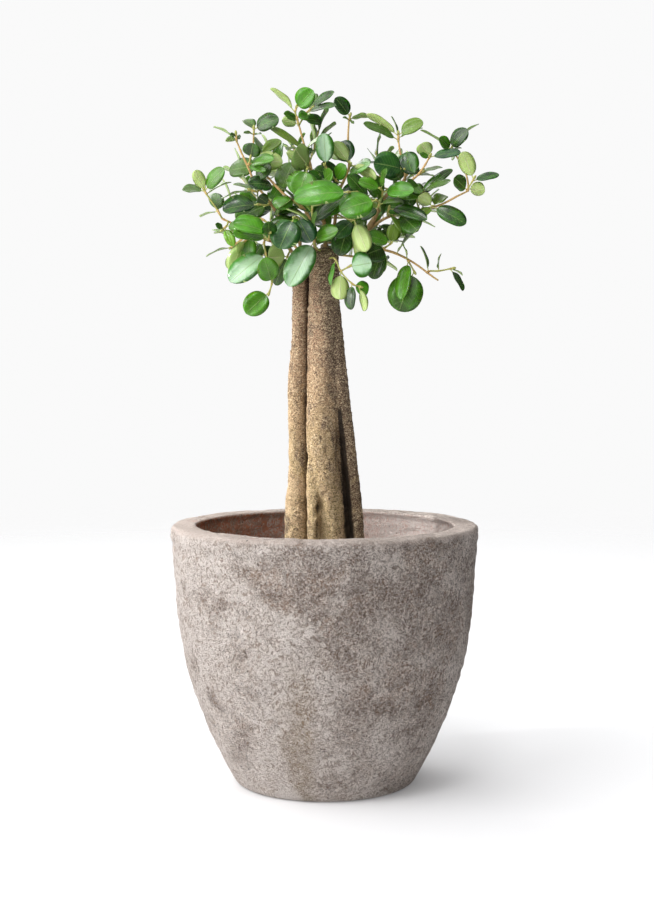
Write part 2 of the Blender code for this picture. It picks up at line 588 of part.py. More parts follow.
def leaf_frame(base, tip, turn):
    """Unit vectors along a leaf, across it and out of its upper face, for this turn."""
    along = (tip - base).normalized()
    front = Vector((0.0, -1.0, 0.0))
    if abs(along.dot(front)) > 0.9:
        front = Vector((0.0, 0.0, 1.0))
    front = (front - along * front.dot(along)).normalized()
    across = along.cross(front)
    if across.z < 0.0:
        across = -across
    angle = math.radians(turn)
    face = front * math.cos(angle) + across * math.sin(angle)
    return along, along.cross(face), face


def blade_width(share):
    """Half width of a leaf at a share of its blade: round at both ends, widest past the middle."""
    return math.sin(math.pi * share**1.12) ** 0.62


def leaf_points(base, tip, width, turn, guard=0.0):
    """Rings of three points, two edges and the keel, from the petiole's foot to the leaf's tip."""
    along, across, face = leaf_frame(base, tip, turn)
    length = (tip - base).length
    stalk = min(PETIOLE_SHARE * length, PETIOLE_LIMIT)
    rings = [(0.0, PETIOLE_RADIUS, 2.0 * PETIOLE_RADIUS)]
    for share in BLADE_STATIONS:
        half = max(PETIOLE_RADIUS, 0.5 * width * blade_width(share))
        rings.append((stalk + share * (length - stalk), half, LEAF_THICKNESS))
    points = []
    for reach, half, keel in rings:
        lift = LEAF_ARCH * length * math.sin(math.pi * reach / length)
        middle = base + along * reach + face * (lift + guard)
        points += [middle - across * (half + guard), middle + across * (half + guard),
                   middle - face * (keel + 2.0 * guard)]
    points.append(tip + along * guard)
    return points


def leaf_faces():
    """Triangles that join the rings of leaf_points into a closed body, facing out."""
    faces = [(0, 1, 2)]
    rings = len(BLADE_STATIONS)
    for ring in range(rings):
        low, high = 3 * ring, 3 * ring + 3
        for a, b in ((0, 1), (1, 2), (2, 0)):
            faces += [(low + a, high + a, high + b), (low + a, high + b, low + b)]
    last, tip = 3 * rings, 3 * rings + 3
    faces += [(last, tip, last + 1), (last + 1, tip, last + 2), (last + 2, tip, last)]
    return faces


class Neighbours:
    """What has grown so far, so that a new leaf can be tested against it."""

    def __init__(self):
        self.grown = []

    def add(self, owner, points, faces):
        """Keeps a shape with the name of the piece that it belongs to."""
        tree = BVHTree.FromPolygons([tuple(point) for point in points], faces)
        cloud = np.array([tuple(point) for point in points])
        self.grown.append((owner, tree, cloud.min(axis=0), cloud.max(axis=0)))

    def add_object(self, owner, obj):
        """Keeps an object's mesh."""
        obj.data.calc_loop_triangles()
        points = [obj.matrix_world @ vertex.co for vertex in obj.data.vertices]
        self.add(owner, points, [tuple(part.vertices) for part in obj.data.loop_triangles])

    def clear(self, points, faces, ignored):
        """True where this shape crosses nothing that has another owner."""
        tree = BVHTree.FromPolygons([tuple(point) for point in points], faces)
        cloud = np.array([tuple(point) for point in points])
        low, high = cloud.min(axis=0), cloud.max(axis=0)
        for owner, other, other_low, other_high in self.grown:
            if owner in ignored or (low > other_high).any() or (high < other_low).any():
                continue
            if tree.overlap(other):
                return False
        return True


def settle_leaf(base, tip, width, turn, neighbours, own):
    """The first of a leaf's places, near the one asked for, that is clear of its neighbours."""
    faces = leaf_faces()
    for size in SIZE_TRIES:
        for shift in DEPTH_TRIES:
            for extra in TURN_TRIES:
                moved = sighted((tip[0], tip[1] + shift, tip[2]))
                moved = base + (moved - base) * size * LEAF_SCALE
                place = (base, moved, width * MM * size * LEAF_SCALE, turn + extra)
                if neighbours.clear(leaf_points(*place, guard=LEAF_CLEARANCE), faces, own):
                    return place
    return place


def plan_point(point):
    """The sight coordinates, in millimetres, of a real point: what sighted() takes."""
    reach = (point.y - STATION.y) / -STATION.y
    x = STATION.x + (point.x - STATION.x) / reach
    z = STATION.z + (point.z - STATION.z) / reach
    return (x / MM, point.y / MM, z / MM)


def whorl_leaves(sprig, paths):
    """Leaves set round each twig of a spray by the golden angle, smaller towards the tip."""
    length, width = sprig.leaf_size
    leaves = []
    for number, (path, _) in enumerate(paths):
        start = on_path(path, 0.45)
        heading = (path[-1] - start).normalized()
        side = heading.orthogonal().normalized()
        for i in range(sprig.whorls):
            share = 0.45 + 0.55 * i / (sprig.whorls - 1)
            angle = math.radians(GOLDEN_ANGLE * (i + number))
            spread = side * math.cos(angle) + heading.cross(side) * math.sin(angle)
            reach = (spread + heading * (0.3 + 0.9 * share)).normalized()
            reach = (reach + Vector((0, 0, math.sin(math.radians(LEAF_RISE))))).normalized()
            size = 1.1 - 0.3 * share
            base = on_path(path, share)
            tip = plan_point(base + reach * length * MM * size)
            leaves.append((base, tip, width * size, 90))
    return leaves


def placed_leaves(sprig, paths):
    """A sprig's own leaves, as (foot, tip, width, turn)."""
    leaves = []
    for share, x, depth, z, width, turn in sprig.leaves:
        path = paths[0][0] if share <= 1.0 else paths[1][0]
        foot = on_path(path, share if share <= 1.0 else share - 1.0)
        leaves.append((foot, (x, depth, z), width, turn))
    return leaves


def grow_sprig(sprig, wood, collection, guides, neighbours):
    """A leafy sprig as one body: its twigs and leaves joined, trimmed clear of its parent."""
    paths = wood[sprig.name][3]
    wanted = whorl_leaves(sprig, paths) if sprig.whorls else placed_leaves(sprig, paths)
    foliage = bpy.data.collections.new(f"{sprig.name}_leaves")
    guides.children.link(foliage)
    faces = leaf_faces()
    outer_faces = [face for face in faces if min(face) >= OUTER_BLADE]
    for number, (base, tip, width, turn) in enumerate(wanted):
        place = settle_leaf(base, tip, width, turn, neighbours, {sprig.name})
        points = leaf_points(*place)
        mesh = bpy.data.meshes.new(f"{sprig.name}_leaf_{number + 1}")
        mesh.from_pydata([tuple(point) for point in points], [], faces)
        as_guide(new_object(mesh.name, mesh, foliage))
        neighbours.add(sprig.name, points, faces)
        neighbours.add(f"{sprig.name}_blades", points, outer_faces)
    sprig_object = collection.objects[sprig.name]
    boolean(sprig_object, "UNION", foliage)
    boolean(sprig_object, "DIFFERENCE", wood[sprig.parent][2])


def raise_wood(limb, wood, collection, guides, neighbours, finish):
    """A limb's or sprig's wood, and the fatter copy that trims what grows from it."""
    paths = limb_paths(limb, wood)
    body = None
    fat = None
    for number, (path, radii) in enumerate(paths):
        thick = as_guide(tube(f"{limb.name}_gap_{number}", path, radii, LIMB_BEVEL, guides,
                              grow=FIT_GAP))
        neighbours.add_object(limb.name, thick)
        if body is None:
            body = tube(limb.name, path, radii, LIMB_BEVEL, collection, finish)
            fat = thick
        else:
            spur = tube(f"{limb.name}_spur_{number}", path, radii, LIMB_BEVEL, guides)
            boolean(body, "UNION", as_guide(spur))
            boolean(fat, "UNION", thick)
    wood[limb.name] = (*paths[0], fat, paths)
    return body


def main():
    """Builds the whole potted tree."""
    for obj in list(bpy.data.objects):
        bpy.data.objects.remove(obj)
    collection = bpy.data.collections.new("potted_ficus_tree")
    guides = bpy.data.collections.new("guides")
    bpy.context.scene.collection.children.link(collection)
    bpy.context.scene.collection.children.link(guides)

    wood = {}
    neighbours = Neighbours()
    build_pot(collection, guides)
    sockets = [build_stem(stem, collection, guides, wood, neighbours) for stem in STEMS]
    build_soil(collection, sockets)
    for limb in LIMBS:
        body = raise_wood(limb, wood, collection, guides, neighbours, "twig")
        boolean(body, "DIFFERENCE", wood[limb.parent][2])
    for sprig in SPRIGS + SPRAYS:
        raise_wood(sprig, wood, collection, guides, neighbours, "leaf")
    for sprig in SPRIGS + SPRAYS:
        grow_sprig(sprig, wood, collection, guides, neighbours)


main()
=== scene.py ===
"""Small-leaved ficus grown as a tree in a deep round pot of aged terracotta, in metres.

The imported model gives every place. Its leaves are read back from the CAD sprigs, so each fine
leaf lies on the CAD leaf that it stands for. The wood follows the routes of the CAD stems and
limbs. Every shape is a surface over two parameters, worked out with arrays.
"""

from __future__ import annotations

import json
import logging
from dataclasses import dataclass, field
from enum import Enum

import bpy
import numpy as np
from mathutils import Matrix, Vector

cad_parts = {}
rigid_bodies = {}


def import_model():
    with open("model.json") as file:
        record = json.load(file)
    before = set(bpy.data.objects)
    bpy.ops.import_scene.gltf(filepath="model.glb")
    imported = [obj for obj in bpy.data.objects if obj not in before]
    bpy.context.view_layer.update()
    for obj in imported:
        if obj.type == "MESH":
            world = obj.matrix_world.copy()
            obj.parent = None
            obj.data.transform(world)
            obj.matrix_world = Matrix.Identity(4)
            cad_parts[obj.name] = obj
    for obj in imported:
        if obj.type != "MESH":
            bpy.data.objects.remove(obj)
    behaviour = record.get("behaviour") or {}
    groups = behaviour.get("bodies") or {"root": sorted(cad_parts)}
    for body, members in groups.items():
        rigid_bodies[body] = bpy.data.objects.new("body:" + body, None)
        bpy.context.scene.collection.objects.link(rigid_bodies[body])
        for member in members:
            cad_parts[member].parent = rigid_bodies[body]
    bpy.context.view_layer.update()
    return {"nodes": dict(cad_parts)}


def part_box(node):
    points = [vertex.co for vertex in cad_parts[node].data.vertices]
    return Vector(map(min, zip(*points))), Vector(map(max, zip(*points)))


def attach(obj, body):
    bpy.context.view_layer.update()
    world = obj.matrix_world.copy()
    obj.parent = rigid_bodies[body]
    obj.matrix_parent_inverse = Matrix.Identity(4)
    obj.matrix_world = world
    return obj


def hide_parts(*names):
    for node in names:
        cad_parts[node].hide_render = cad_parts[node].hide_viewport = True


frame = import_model()

LOG = logging.getLogger("ficus")
MM = 0.001
TAU = 2.0 * np.pi
BODY = "root"
STATION = np.array([0.0025, -1.8628, 0.5023])
GOLDEN_ANGLE = np.radians(137.5)
LEAF_ROUND = 8

Socket = bpy.types.NodeSocket
Colour = tuple[float, float, float]
Place = tuple[float, float, float]


# ---------------------------------------------------------------- arrays


def value_noise(points: np.ndarray, cell: float, seed: int = 0) -> np.ndarray:
    """Smooth noise from -1 to 1.

    Each corner of a lattice of cubes holds a hashed random value. Inside a cube the eight
    corners are blended by the product of 3t^2 - 2t^3 along each axis.

    Args:
        points: Array of places, with x, y, z last.
        cell: Size of a cube.
        seed: Which set of random values.

    Returns:
        One value for each point.
    """
    scaled = points / cell
    low = np.floor(scaled).astype(np.int64)
    share = scaled - low
    share = share * share * (3.0 - 2.0 * share)
    total = np.zeros(points.shape[:-1])
    for corner in range(8):
        step = np.array([(corner >> axis) & 1 for axis in range(3)])
        key = (low + step) @ np.array([374761393, 668265263, 1440662683]) + seed * 974634777
        key = (key ^ (key >> 13)) * 1274126177
        key = (key ^ (key >> 16)) & 0xFFFFFF
        weight = np.prod(np.where(step == 1, share, 1.0 - share), axis=-1)
        total += weight * (key / float(0x7FFFFF) - 1.0)
    return total


def fractal(points: np.ndarray, cell: float, octaves: int, seed: int = 0) -> np.ndarray:
    """Sum of octaves of value noise, each half as large and half as strong as the last."""
    layers = [value_noise(points, cell / 2**i, seed + i) / 2**i for i in range(octaves)]
    return np.sum(layers, axis=0)


def smooth_step(value: np.ndarray, low: float, high: float) -> np.ndarray:
    """Goes from 0 at low to 1 at high along 3t^2 - 2t^3."""
    share = np.clip((value - low) / (high - low), 0.0, 1.0)
    return share * share * (3.0 - 2.0 * share)


def unit(vectors: np.ndarray) -> np.ndarray:
    """The vectors at length one."""
    return vectors / np.maximum(np.linalg.norm(vectors, axis=-1, keepdims=True), 1e-12)


def lengths_along(knots: np.ndarray) -> np.ndarray:
    """Distance from the first knot to each knot, along the chords."""
    steps = np.linalg.norm(np.diff(knots, axis=0), axis=1)
    return np.concatenate(([0.0], np.cumsum(np.maximum(steps, 1e-9))))


def smooth_path(knots: np.ndarray, values: np.ndarray, spacing: float) -> tuple[np.ndarray, np.ndarray]:
    """A cubic Hermite curve through the knots, with slopes from the chords on both sides.

    Args:
        knots: Places that the curve passes through.
        values: One number for each knot, such as a radius, carried along in straight steps.
        spacing: Distance between the points read from the curve.

    Returns:
        The points, and the number at each point.
    """
    along = lengths_along(knots)
    slopes = np.gradient(knots, along, axis=0)
    count = max(4, int(along[-1] / spacing) + 1)
    at = np.linspace(0.0, along[-1], count)
    i = np.clip(np.searchsorted(along, at, side="right") - 1, 0, len(knots) - 2)
    span = (along[i + 1] - along[i])[:, None]
    t = (at[:, None] - along[i][:, None]) / span
    points = (
        (2 * t**3 - 3 * t**2 + 1) * knots[i]
        + (t**3 - 2 * t**2 + t) * span * slopes[i]
        + (3 * t**2 - 2 * t**3) * knots[i + 1]
        + (t**3 - t**2) * span * slopes[i + 1]
    )
    return points, np.interp(at, along, values)


def sighted(points: np.ndarray) -> np.ndarray:
    """Carries points in millimetres from where their sights cross y = 0 to their depth y.

    A sight is a straight line from STATION. x and z are given where it crosses the plane
    y = 0, and the point lies on it at the depth y.

    Args:
        points: x and z on the plane y = 0, and the depth y, in millimetres.

    Returns:
        The places, in metres.
    """
    points = np.asarray(points, float) * MM
    reach = (points[..., 1:2] - STATION[1]) / -STATION[1]
    crossing = points * np.array([1.0, 0.0, 1.0])
    station = STATION * np.array([1.0, 0.0, 1.0])
    return station + (crossing - station) * reach + points * np.array([0.0, 1.0, 0.0])


def across_sight(points: np.ndarray) -> np.ndarray:
    """The x, in millimetres, at which the sights of these points cross the plane y = 0."""
    reach = (points[..., 1] - STATION[1]) / -STATION[1]
    return (STATION[0] + (points[..., 0] - STATION[0]) / reach) / MM


# ---------------------------------------------------------------- meshes


@dataclass
class Surface:
    """Points and faces gathered for one mesh, with a number or more for each point."""

    points: list[np.ndarray] = field(default_factory=list)
    quads: list[np.ndarray] = field(default_factory=list)
    triangles: list[np.ndarray] = field(default_factory=list)
    marks: list[np.ndarray] = field(default_factory=list)
    count: int = 0

    def add(self, points: np.ndarray, quads: np.ndarray, triangles: np.ndarray,
            marks: np.ndarray | None = None) -> None:
        """Adds one closed shape, with its faces numbered from its own first point.

        Args:
            points: Places, three numbers each.
            quads: Faces of four points.
            triangles: Faces of three points.
            marks: Three numbers for each point, kept as the attribute "mark".
        """
        self.points.append(points)
        self.quads.append(quads + self.count)
        self.triangles.append(triangles + self.count)
        self.marks.append(np.zeros((len(points), 3)) if marks is None else marks)
        self.count += len(points)

    def add_rings(self, rings: np.ndarray, poles: np.ndarray, marks: np.ndarray | None = None) -> None:
        """Adds closed bodies made of rings between two poles.

        Point (r, a) of a body is ring r at the angle a; quads join neighbouring rings, and
        fans join the first and last ring to their poles.

        Args:
            rings: Places, in the order body, ring, angle, xyz, turning left round the path.
            poles: The two end points of each body.
            marks: The same layout as rings, and the poles take those of their ring.
        """
        bodies, count, around = rings.shape[:3]
        r, a = np.meshgrid(np.arange(count - 1), np.arange(around), indexing="ij")
        low = r * around + a
        low_next = r * around + (a + 1) % around
        quads = np.stack([low, low_next, low_next + around, low + around], axis=-1).reshape(-1, 4)
        a = np.arange(around)
        first, last = count * around, count * around + 1
        end = (count - 1) * around
        start_fan = np.stack([np.full(around, first), (a + 1) % around, a], axis=-1)
        end_fan = np.stack([np.full(around, last), end + a, end + (a + 1) % around], axis=-1)
        triangles = np.concatenate([start_fan, end_fan])
        offsets = (np.arange(bodies) * (count * around + 2))[:, None, None]
        points = np.concatenate([rings.reshape(bodies, -1, 3), poles], axis=1)
        if marks is not None:
            ends = np.stack([marks[:, 0].mean(axis=1), marks[:, -1].mean(axis=1)], axis=1)
            marks = np.concatenate([marks.reshape(bodies, -1, 3), ends], axis=1).reshape(-1, 3)
        self.add(points.reshape(-1, 3), (quads[None] + offsets).reshape(-1, 4),
                 (triangles[None] + offsets).reshape(-1, 3), marks)

    def mesh(self, name: str) -> bpy.types.Mesh:
        """A smooth-shaded mesh of everything added.

        Args:
            name: The mesh's name.

        Returns:
            The new mesh.
        """
        made = bpy.data.meshes.new(name)
        quads = np.concatenate(self.quads)
        triangles = np.concatenate(self.triangles)
        points = np.concatenate(self.points)
        sizes = np.concatenate([np.full(len(quads), 4), np.full(len(triangles), 3)])
        made.vertices.add(len(points))
        made.vertices.foreach_set("co", points.astype(np.float32).ravel())
        made.loops.add(int(sizes.sum()))
        corners = np.concatenate([quads.ravel(), triangles.ravel()])
        made.loops.foreach_set("vertex_index", corners.astype(np.int32))
        made.polygons.add(len(sizes))
        starts = np.concatenate(([0], np.cumsum(sizes)[:-1]))
        made.polygons.foreach_set("loop_start", starts.astype(np.int32))
        mark = made.attributes.new("mark", "FLOAT_VECTOR", "POINT")
        mark.data.foreach_set("vector", np.concatenate(self.marks).astype(np.float32).ravel())
        made.update(calc_edges=True)
        made.shade_smooth()
        return made


def vertex_values(mesh: bpy.types.Mesh, name: str = "co") -> np.ndarray:
    """The place or the normal of each vertex of a mesh.

    Args:
        mesh: The mesh.
        name: "co" for the place, "normal" for the normal.

    Returns:
        An array with a row for each vertex.
    """
    values = np.empty(len(mesh.vertices) * 3, np.float32)
    mesh.vertices.foreach_get(name, values)
    return values.reshape(-1, 3).astype(float)


def into_scene(made: bpy.types.Object) -> None:
    """Links an object into the scene."""
    bpy.context.scene.collection.objects.link(made)


def tube(path: np.ndarray, radii: np.ndarray, around: int) -> tuple[np.ndarray, np.ndarray]:
    """Rings of a round rod along a path.

    A ring's point at the angle t is the path's point + radius (cos t * side + sin t * up),
    where side and up are perpendicular to the path, and up starts from the direction in which
    the path bends least.

    Args:
        path: Points along the middle.
        radii: Radius at each point.
        around: Points in each ring.

    Returns:
        The rings, and the two poles.
    """
    tangents = unit(np.gradient(path, axis=0))
    least = np.linalg.svd(path - path.mean(axis=0), full_matrices=True)[2][-1]
    side = unit(np.cross(least, tangents))
    up = np.cross(tangents, side)
    angles = TAU * np.arange(around) / around
    spokes = np.cos(angles)[None, :, None] * side[:, None] + np.sin(angles)[None, :, None] * up[:, None]
    rings = path[:, None] + radii[:, None, None] * spokes
    poles = np.stack([path[0] - tangents[0] * 0.5 * radii[0], path[-1] + tangents[-1] * 0.5 * radii[-1]])
    return rings, poles


def piece(name: str, mesh: bpy.types.Mesh, finish: bpy.types.Material,
          nodes: tuple[str, ...] = ()) -> bpy.types.Object:
    """Puts a mesh in the scene as a piece of the plant.

    Args:
        name: The piece's name.
        mesh: Its mesh, in place.
        finish: Its material.
        nodes: CAD nodes that it stands for.

    Returns:
        The new object.
    """
    made = bpy.data.objects.new(name, mesh)
    mesh.materials.append(finish)
    into_scene(made)
    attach(made, BODY)
    if nodes:
        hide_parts(*nodes)
    LOG.info("%s: %d faces, stands for %s", name, len(mesh.polygons), ", ".join(nodes) or "no node")
    return made


# ---------------------------------------------------------------- finishes


class Tree:
    """A material's node tree, built by naming what each node makes."""

    def __init__(self, name: str) -> None:
        """Starts a material with one Principled shader.

        Args:
            name: The material's name.
        """
        self.material = bpy.data.materials.new(name)
        self.material.use_nodes = True
        self.nodes = self.material.node_tree.nodes
        self.links = self.material.node_tree.links
        self.shader = self.nodes["Principled BSDF"]
        self.place = self.nodes.new("ShaderNodeTexCoord").outputs["Object"]

    def put(self, socket: Socket, value: object) -> None:
        """Links a socket to a socket, or sets it to a number or colour.

        Args:
            socket: The input to feed.
            value: A socket, a number or a colour.
        """
        if isinstance(value, Socket):
            self.links.new(value, socket)
        elif isinstance(value, tuple) and socket.type == "RGBA":
            socket.default_value = (*value, 1.0)[:4]
        else:
            socket.default_value = value

    def set(self, **values: object) -> None:
        """Sets the shader's sockets, with _ for each space in their names."""
        for name, value in values.items():
            self.put(self.shader.inputs[name.replace("_", " ")], value)

    def math(self, operation: str, *values: object) -> Socket:
        """A Math node.

        Args:
            operation: What the node does.
            values: Its inputs, sockets or numbers.

        Returns:
            The output.
        """
        node = self.nodes.new("ShaderNodeMath")
        node.operation = operation
        for socket, value in zip(node.inputs, values):
            self.put(socket, value)
        return node.outputs[0]

    def off_middle(self, count: Socket) -> Socket:
        """How far a count is from the middle between two whole numbers, 0 to 0.5."""
        return self.math("ABSOLUTE", self.math("SUBTRACT", self.math("FRACT", count), 0.5))

    def stretched(self, by: Place) -> Socket:
        """Object coordinates multiplied along each axis.

        Args:
            by: A factor for each axis.

        Returns:
            The output.
        """
        node = self.nodes.new("ShaderNodeVectorMath")
        node.operation = "MULTIPLY"
        self.put(node.inputs[0], self.place)
        self.put(node.inputs[1], by)
        return node.outputs[0]

    def noise(self, size: float, detail: float = 3.0, rough: float = 0.55, distort: float = 0.0,
              place: Socket | None = None) -> Socket:
        """Fractal noise from about 0.3 to 0.7 whose largest grains are about `size` metres.

        Args:
            size: Size of the largest grains in metres.
            detail: How many finer octaves.
            rough: How strong the finer octaves are.
            distort: How far the noise bends itself.
            place: Where it is read, or None for Object coordinates.

        Returns:
            The output.
        """
        node = self.nodes.new("ShaderNodeTexNoise")
        self.put(node.inputs["Vector"], place or self.place)
        for name, value in (("Scale", 1.0 / size), ("Detail", detail), ("Roughness", rough),
                            ("Distortion", distort)):
            self.put(node.inputs[name], value)
        return node.outputs["Fac"]

    def cells(self, size: float) -> Socket:
        """Distance to the nearest of scattered points about `size` metres apart, 0 to about 1.

        Args:
            size: Distance between the points in metres.

        Returns:
            The output.
        """
        node = self.nodes.new("ShaderNodeTexVoronoi")
        self.put(node.inputs["Vector"], self.place)
        self.put(node.inputs["Scale"], 1.0 / size)
        return node.outputs["Distance"]

    def band(self, value: object, low: float, high: float, start: float = 0.0, end: float = 1.0) -> Socket:
        """Goes smoothly from start where the value is low to end where it is high.

        Args:
            value: What is followed.
            low: Where the step starts.
            high: Where it ends.
            start: Result at low.
            end: Result at high.

        Returns:
            The output.
        """
        node = self.nodes.new("ShaderNodeMapRange")
        node.interpolation_type = "SMOOTHSTEP"
        for socket, number in zip(node.inputs, (value, low, high, start, end)):
            self.put(socket, number)
        return node.outputs[0]

    def mix(self, share: object, first: object, second: object) -> Socket:
        """Two colours mixed by a share.

        Args:
            share: 0 for the first colour, 1 for the second.
            first: The first colour.
            second: The second colour.

        Returns:
            The output.
        """
        node = self.nodes.new("ShaderNodeMix")
        node.data_type = "RGBA"
        node.clamp_factor = True
        colours = [socket for socket in node.inputs if socket.type == "RGBA"]
        self.put(node.inputs[0], share)
        self.put(colours[0], first)
        self.put(colours[1], second)
        return next(socket for socket in node.outputs if socket.type == "RGBA")

    def split(self, value: Socket) -> list[Socket]:
        """The x, y and z of a vector.

        Args:
            value: The vector.

        Returns:
            Its three parts.
        """
        node = self.nodes.new("ShaderNodeSeparateXYZ")
        self.put(node.inputs[0], value)
        return list(node.outputs)

    def attribute(self, name: str) -> bpy.types.Node:
        """A node that reads an attribute of the mesh.

        Args:
            name: The attribute's name.

        Returns:
            The node.
        """
        node = self.nodes.new("ShaderNodeAttribute")
        node.attribute_name = name
        return node

    def bump(self, height: object, depth: float, under: Socket | None = None) -> Socket:
        """A normal bent by a height of 0 to 1, `depth` metres deep.

        Args:
            height: The height.
            depth: How deep it goes, in metres.
            under: The normal that it bends, or None for the mesh's own.

        Returns:
            The bent normal.
        """
        node = self.nodes.new("ShaderNodeBump")
        self.put(node.inputs["Height"], height)
        self.put(node.inputs["Distance"], depth)
        if under is not None:
            self.put(node.inputs["Normal"], under)
        return node.outputs[0]


@dataclass(frozen=True)
class TerracottaFinish:
    """Aged terracotta: fired clay under a worn skin of pale lime, with stains and scratches. Its colour also
    holds painted light on the left, low down and inside, and painted shade to the upper right.
    """

    clay: Colour = (0.63, 0.275, 0.175)
    skin: Colour = (0.49, 0.395, 0.335)
    bloom: Colour = (0.95, 0.86, 0.80)
    stain: Colour = (0.145, 0.102, 0.082)
    rust: Colour = (0.33, 0.205, 0.135)
    tan: Colour = (0.37, 0.265, 0.16)
    rim: Colour = (0.80, 0.665, 0.59)
    painted_light_clay: Colour = (0.97, 0.85, 0.79)

    def material(self) -> bpy.types.Material:
        """The material: skin colours outside, bare clay with specks of bloom inside, with painted light and
        shade.

        Returns:
            The material.
        """
        tree = Tree("aged_terracotta")
        x, _, z = tree.split(tree.place)
        worms = self.lines(tree, 0.0080, 1.2, 0.05)
        prints = self.prints(tree)
        swirl = tree.noise(0.0085, 5.0, 0.78, 2.8)
        grain = tree.noise(0.0026, 3.0, 0.75, 0.5)
        patches = tree.noise(0.060, 4.0, 0.60, 0.5)
        spots = tree.noise(0.030, 6.0, 0.76, 1.1)
        # Painted shade: a mask that grows towards the upper right, away from the light. It adds to the
        # patches of wear, so ground, dirt and specks gather more there.
        painted_shade = tree.band(tree.math("MULTIPLY_ADD", z, 0.55, x), -0.04, 0.24)
        worn = tree.math("ADD", patches, tree.math("MULTIPLY", painted_shade, 0.17))
        # Painted light: the skin's mottle turns to pale bloom more towards the left, where the key light
        # falls.
        painted_light_left = tree.math("MULTIPLY_ADD", tree.band(x, 0.03, -0.13), 0.035, swirl)
        colour = tree.mix(tree.band(painted_light_left, 0.43, 0.55), self.skin, self.bloom)
        ground = tree.band(worn, 0.51, 0.68, 0.0, 0.80)
        colour = tree.mix(ground, colour, tree.mix(tree.band(spots, 0.4, 0.6), self.rust, self.stain))
        # Painted light: the lower wall turns paler towards the foot, as if lit from the floor.
        colour = tree.mix(tree.band(z, 0.17, 0.03, 0.0, 0.35), colour, self.bloom)
        tan = tree.math("MULTIPLY", self.streak(tree, x, z), tree.band(swirl, 0.62, 0.44, 0.55, 1.0))
        colour = tree.mix(tan, colour, self.tan)
        dirt = tree.math("MULTIPLY", tree.band(spots, 0.53, 0.64), tree.band(worn, 0.47, 0.64, 0.18, 1.0))
        colour = tree.mix(dirt, colour, tree.mix(tree.band(swirl, 0.45, 0.55), self.stain, self.rust))
        specks = tree.math("MULTIPLY", tree.band(grain, 0.45, 0.39), tree.band(worn, 0.44, 0.66, 0.22, 0.9))
        colour = tree.mix(specks, colour, self.stain)
        chalk = tree.band(spots, 0.62, 0.42, 0.25, 0.85)
        colour = tree.mix(tree.math("MULTIPLY", worms, chalk), colour, self.bloom)
        colour = tree.mix(tree.band(grain, 0.55, 0.60, 0.0, 0.7), colour, self.bloom)
        combed = tree.math("MULTIPLY", prints, tree.band(patches, 0.60, 0.46, 0.25, 0.85))
        colour = tree.mix(combed, colour, self.bloom)
        # Painted shade in the grooves of the swirl relief: rust-brown on the lit side, darker stain towards
        # the shaded side.
        painted_groove_shade = tree.math("MULTIPLY", tree.band(swirl, 0.50, 0.43),
                            tree.band(patches, 0.62, 0.44, 0.35, 0.6))
        colour = tree.mix(painted_groove_shade, colour, tree.mix(painted_shade, self.rust, self.stain))
        mark = tree.attribute("mark")
        inside, edge, chipped = tree.split(mark.outputs["Vector"])
        clay = tree.mix(tree.band(patches, 0.4, 0.62), self.clay, tuple(1.3 * part for part in self.clay))
        clay = tree.mix(tree.math("MULTIPLY", worms, 0.65), clay, self.bloom)
        clay = tree.mix(tree.band(spots, 0.50, 0.62, 0.0, 0.5), clay, self.skin)
        # Painted light: the inner wall towards the right turns pale, where the key light reaches into the
        # pot.
        painted_light_inside = tree.math("MULTIPLY", tree.band(x, -0.02, 0.09), tree.band(swirl, 0.38, 0.56, 0.55, 1.0))
        clay = tree.mix(painted_light_inside, clay, self.painted_light_clay)
        rim = tree.mix(tree.band(grain, 0.42, 0.62, 0.0, 0.6), self.rim, self.bloom)
        rim = tree.mix(tree.band(spots, 0.56, 0.66, 0.0, 0.6), rim, self.rust)
        # The worn rim is pale; painted shade dims it towards the right.
        colour = tree.mix(tree.math("MULTIPLY", edge, tree.band(painted_shade, 0.0, 1.0, 0.95, 0.55)), colour, rim)
        colour = tree.mix(chipped, colour, self.bloom)
        colour = tree.mix(inside, colour, clay)
        pits = tree.band(tree.cells(0.0085), 0.16, 0.06)
        pits = tree.math("MULTIPLY", pits, tree.band(patches, 0.44, 0.56))
        colour = tree.mix(tree.math("MULTIPLY", pits, 0.8), colour, self.stain)
        fine = tree.noise(0.0012, 3.0, 0.65)
        relief = tree.bump(spots, 0.0060)
        relief = tree.bump(swirl, 0.0048, relief)
        relief = tree.bump(worms, 0.0014, relief)
        relief = tree.bump(combed, 0.0016, relief)
        relief = tree.bump(grain, 0.0030, relief)
        relief = tree.bump(tree.math("SUBTRACT", 1.0, pits), 0.0010, relief)
        relief = tree.bump(fine, 0.0004, relief)
        tree.set(Base_Color=colour, Roughness=0.88, Normal=relief, Specular_IOR_Level=0.3)
        return tree.material

    @staticmethod
    def lines(tree: Tree, size: float, bent: float, width: float) -> Socket:
        """Thin curly lines, where warped noise passes through its middle value."""
        off = tree.math("ABSOLUTE", tree.math("SUBTRACT", tree.noise(size, 3.0, 0.6, bent), 0.5))
        return tree.band(off, width, 0.25 * width)

    @staticmethod
    def prints(tree: Tree) -> Socket:
        """Lines about 4 mm apart, like those of a finger: the contours of slowly bending noise."""
        count = tree.math("MULTIPLY", tree.noise(0.055, 3.0, 0.45, 1.6), 44.0)
        return tree.band(tree.off_middle(count), 0.24, 0.06)

    @staticmethod
    def streak(tree: Tree, x: Socket, z: Socket) -> Socket:
        """A water stain: strongest at x = -28 mm, running down from 150 mm above the foot.

        Args:
            tree: The material's tree.
            x: Place across the front.
            z: Height.

        Returns:
            How strong the stain is.
        """
        sway = tree.math("MULTIPLY_ADD", tree.noise(0.05, 2.0), 0.06, -0.03)
        off = tree.math("ABSOLUTE", tree.math("ADD", tree.math("ADD", x, 0.028), sway))
        width = tree.band(off, 0.024, 0.006)
        front = tree.math("LESS_THAN", tree.split(tree.place)[1], 0.0)
        return tree.math("MULTIPLY", tree.math("MULTIPLY", width, front), tree.band(z, 0.18, 0.12))


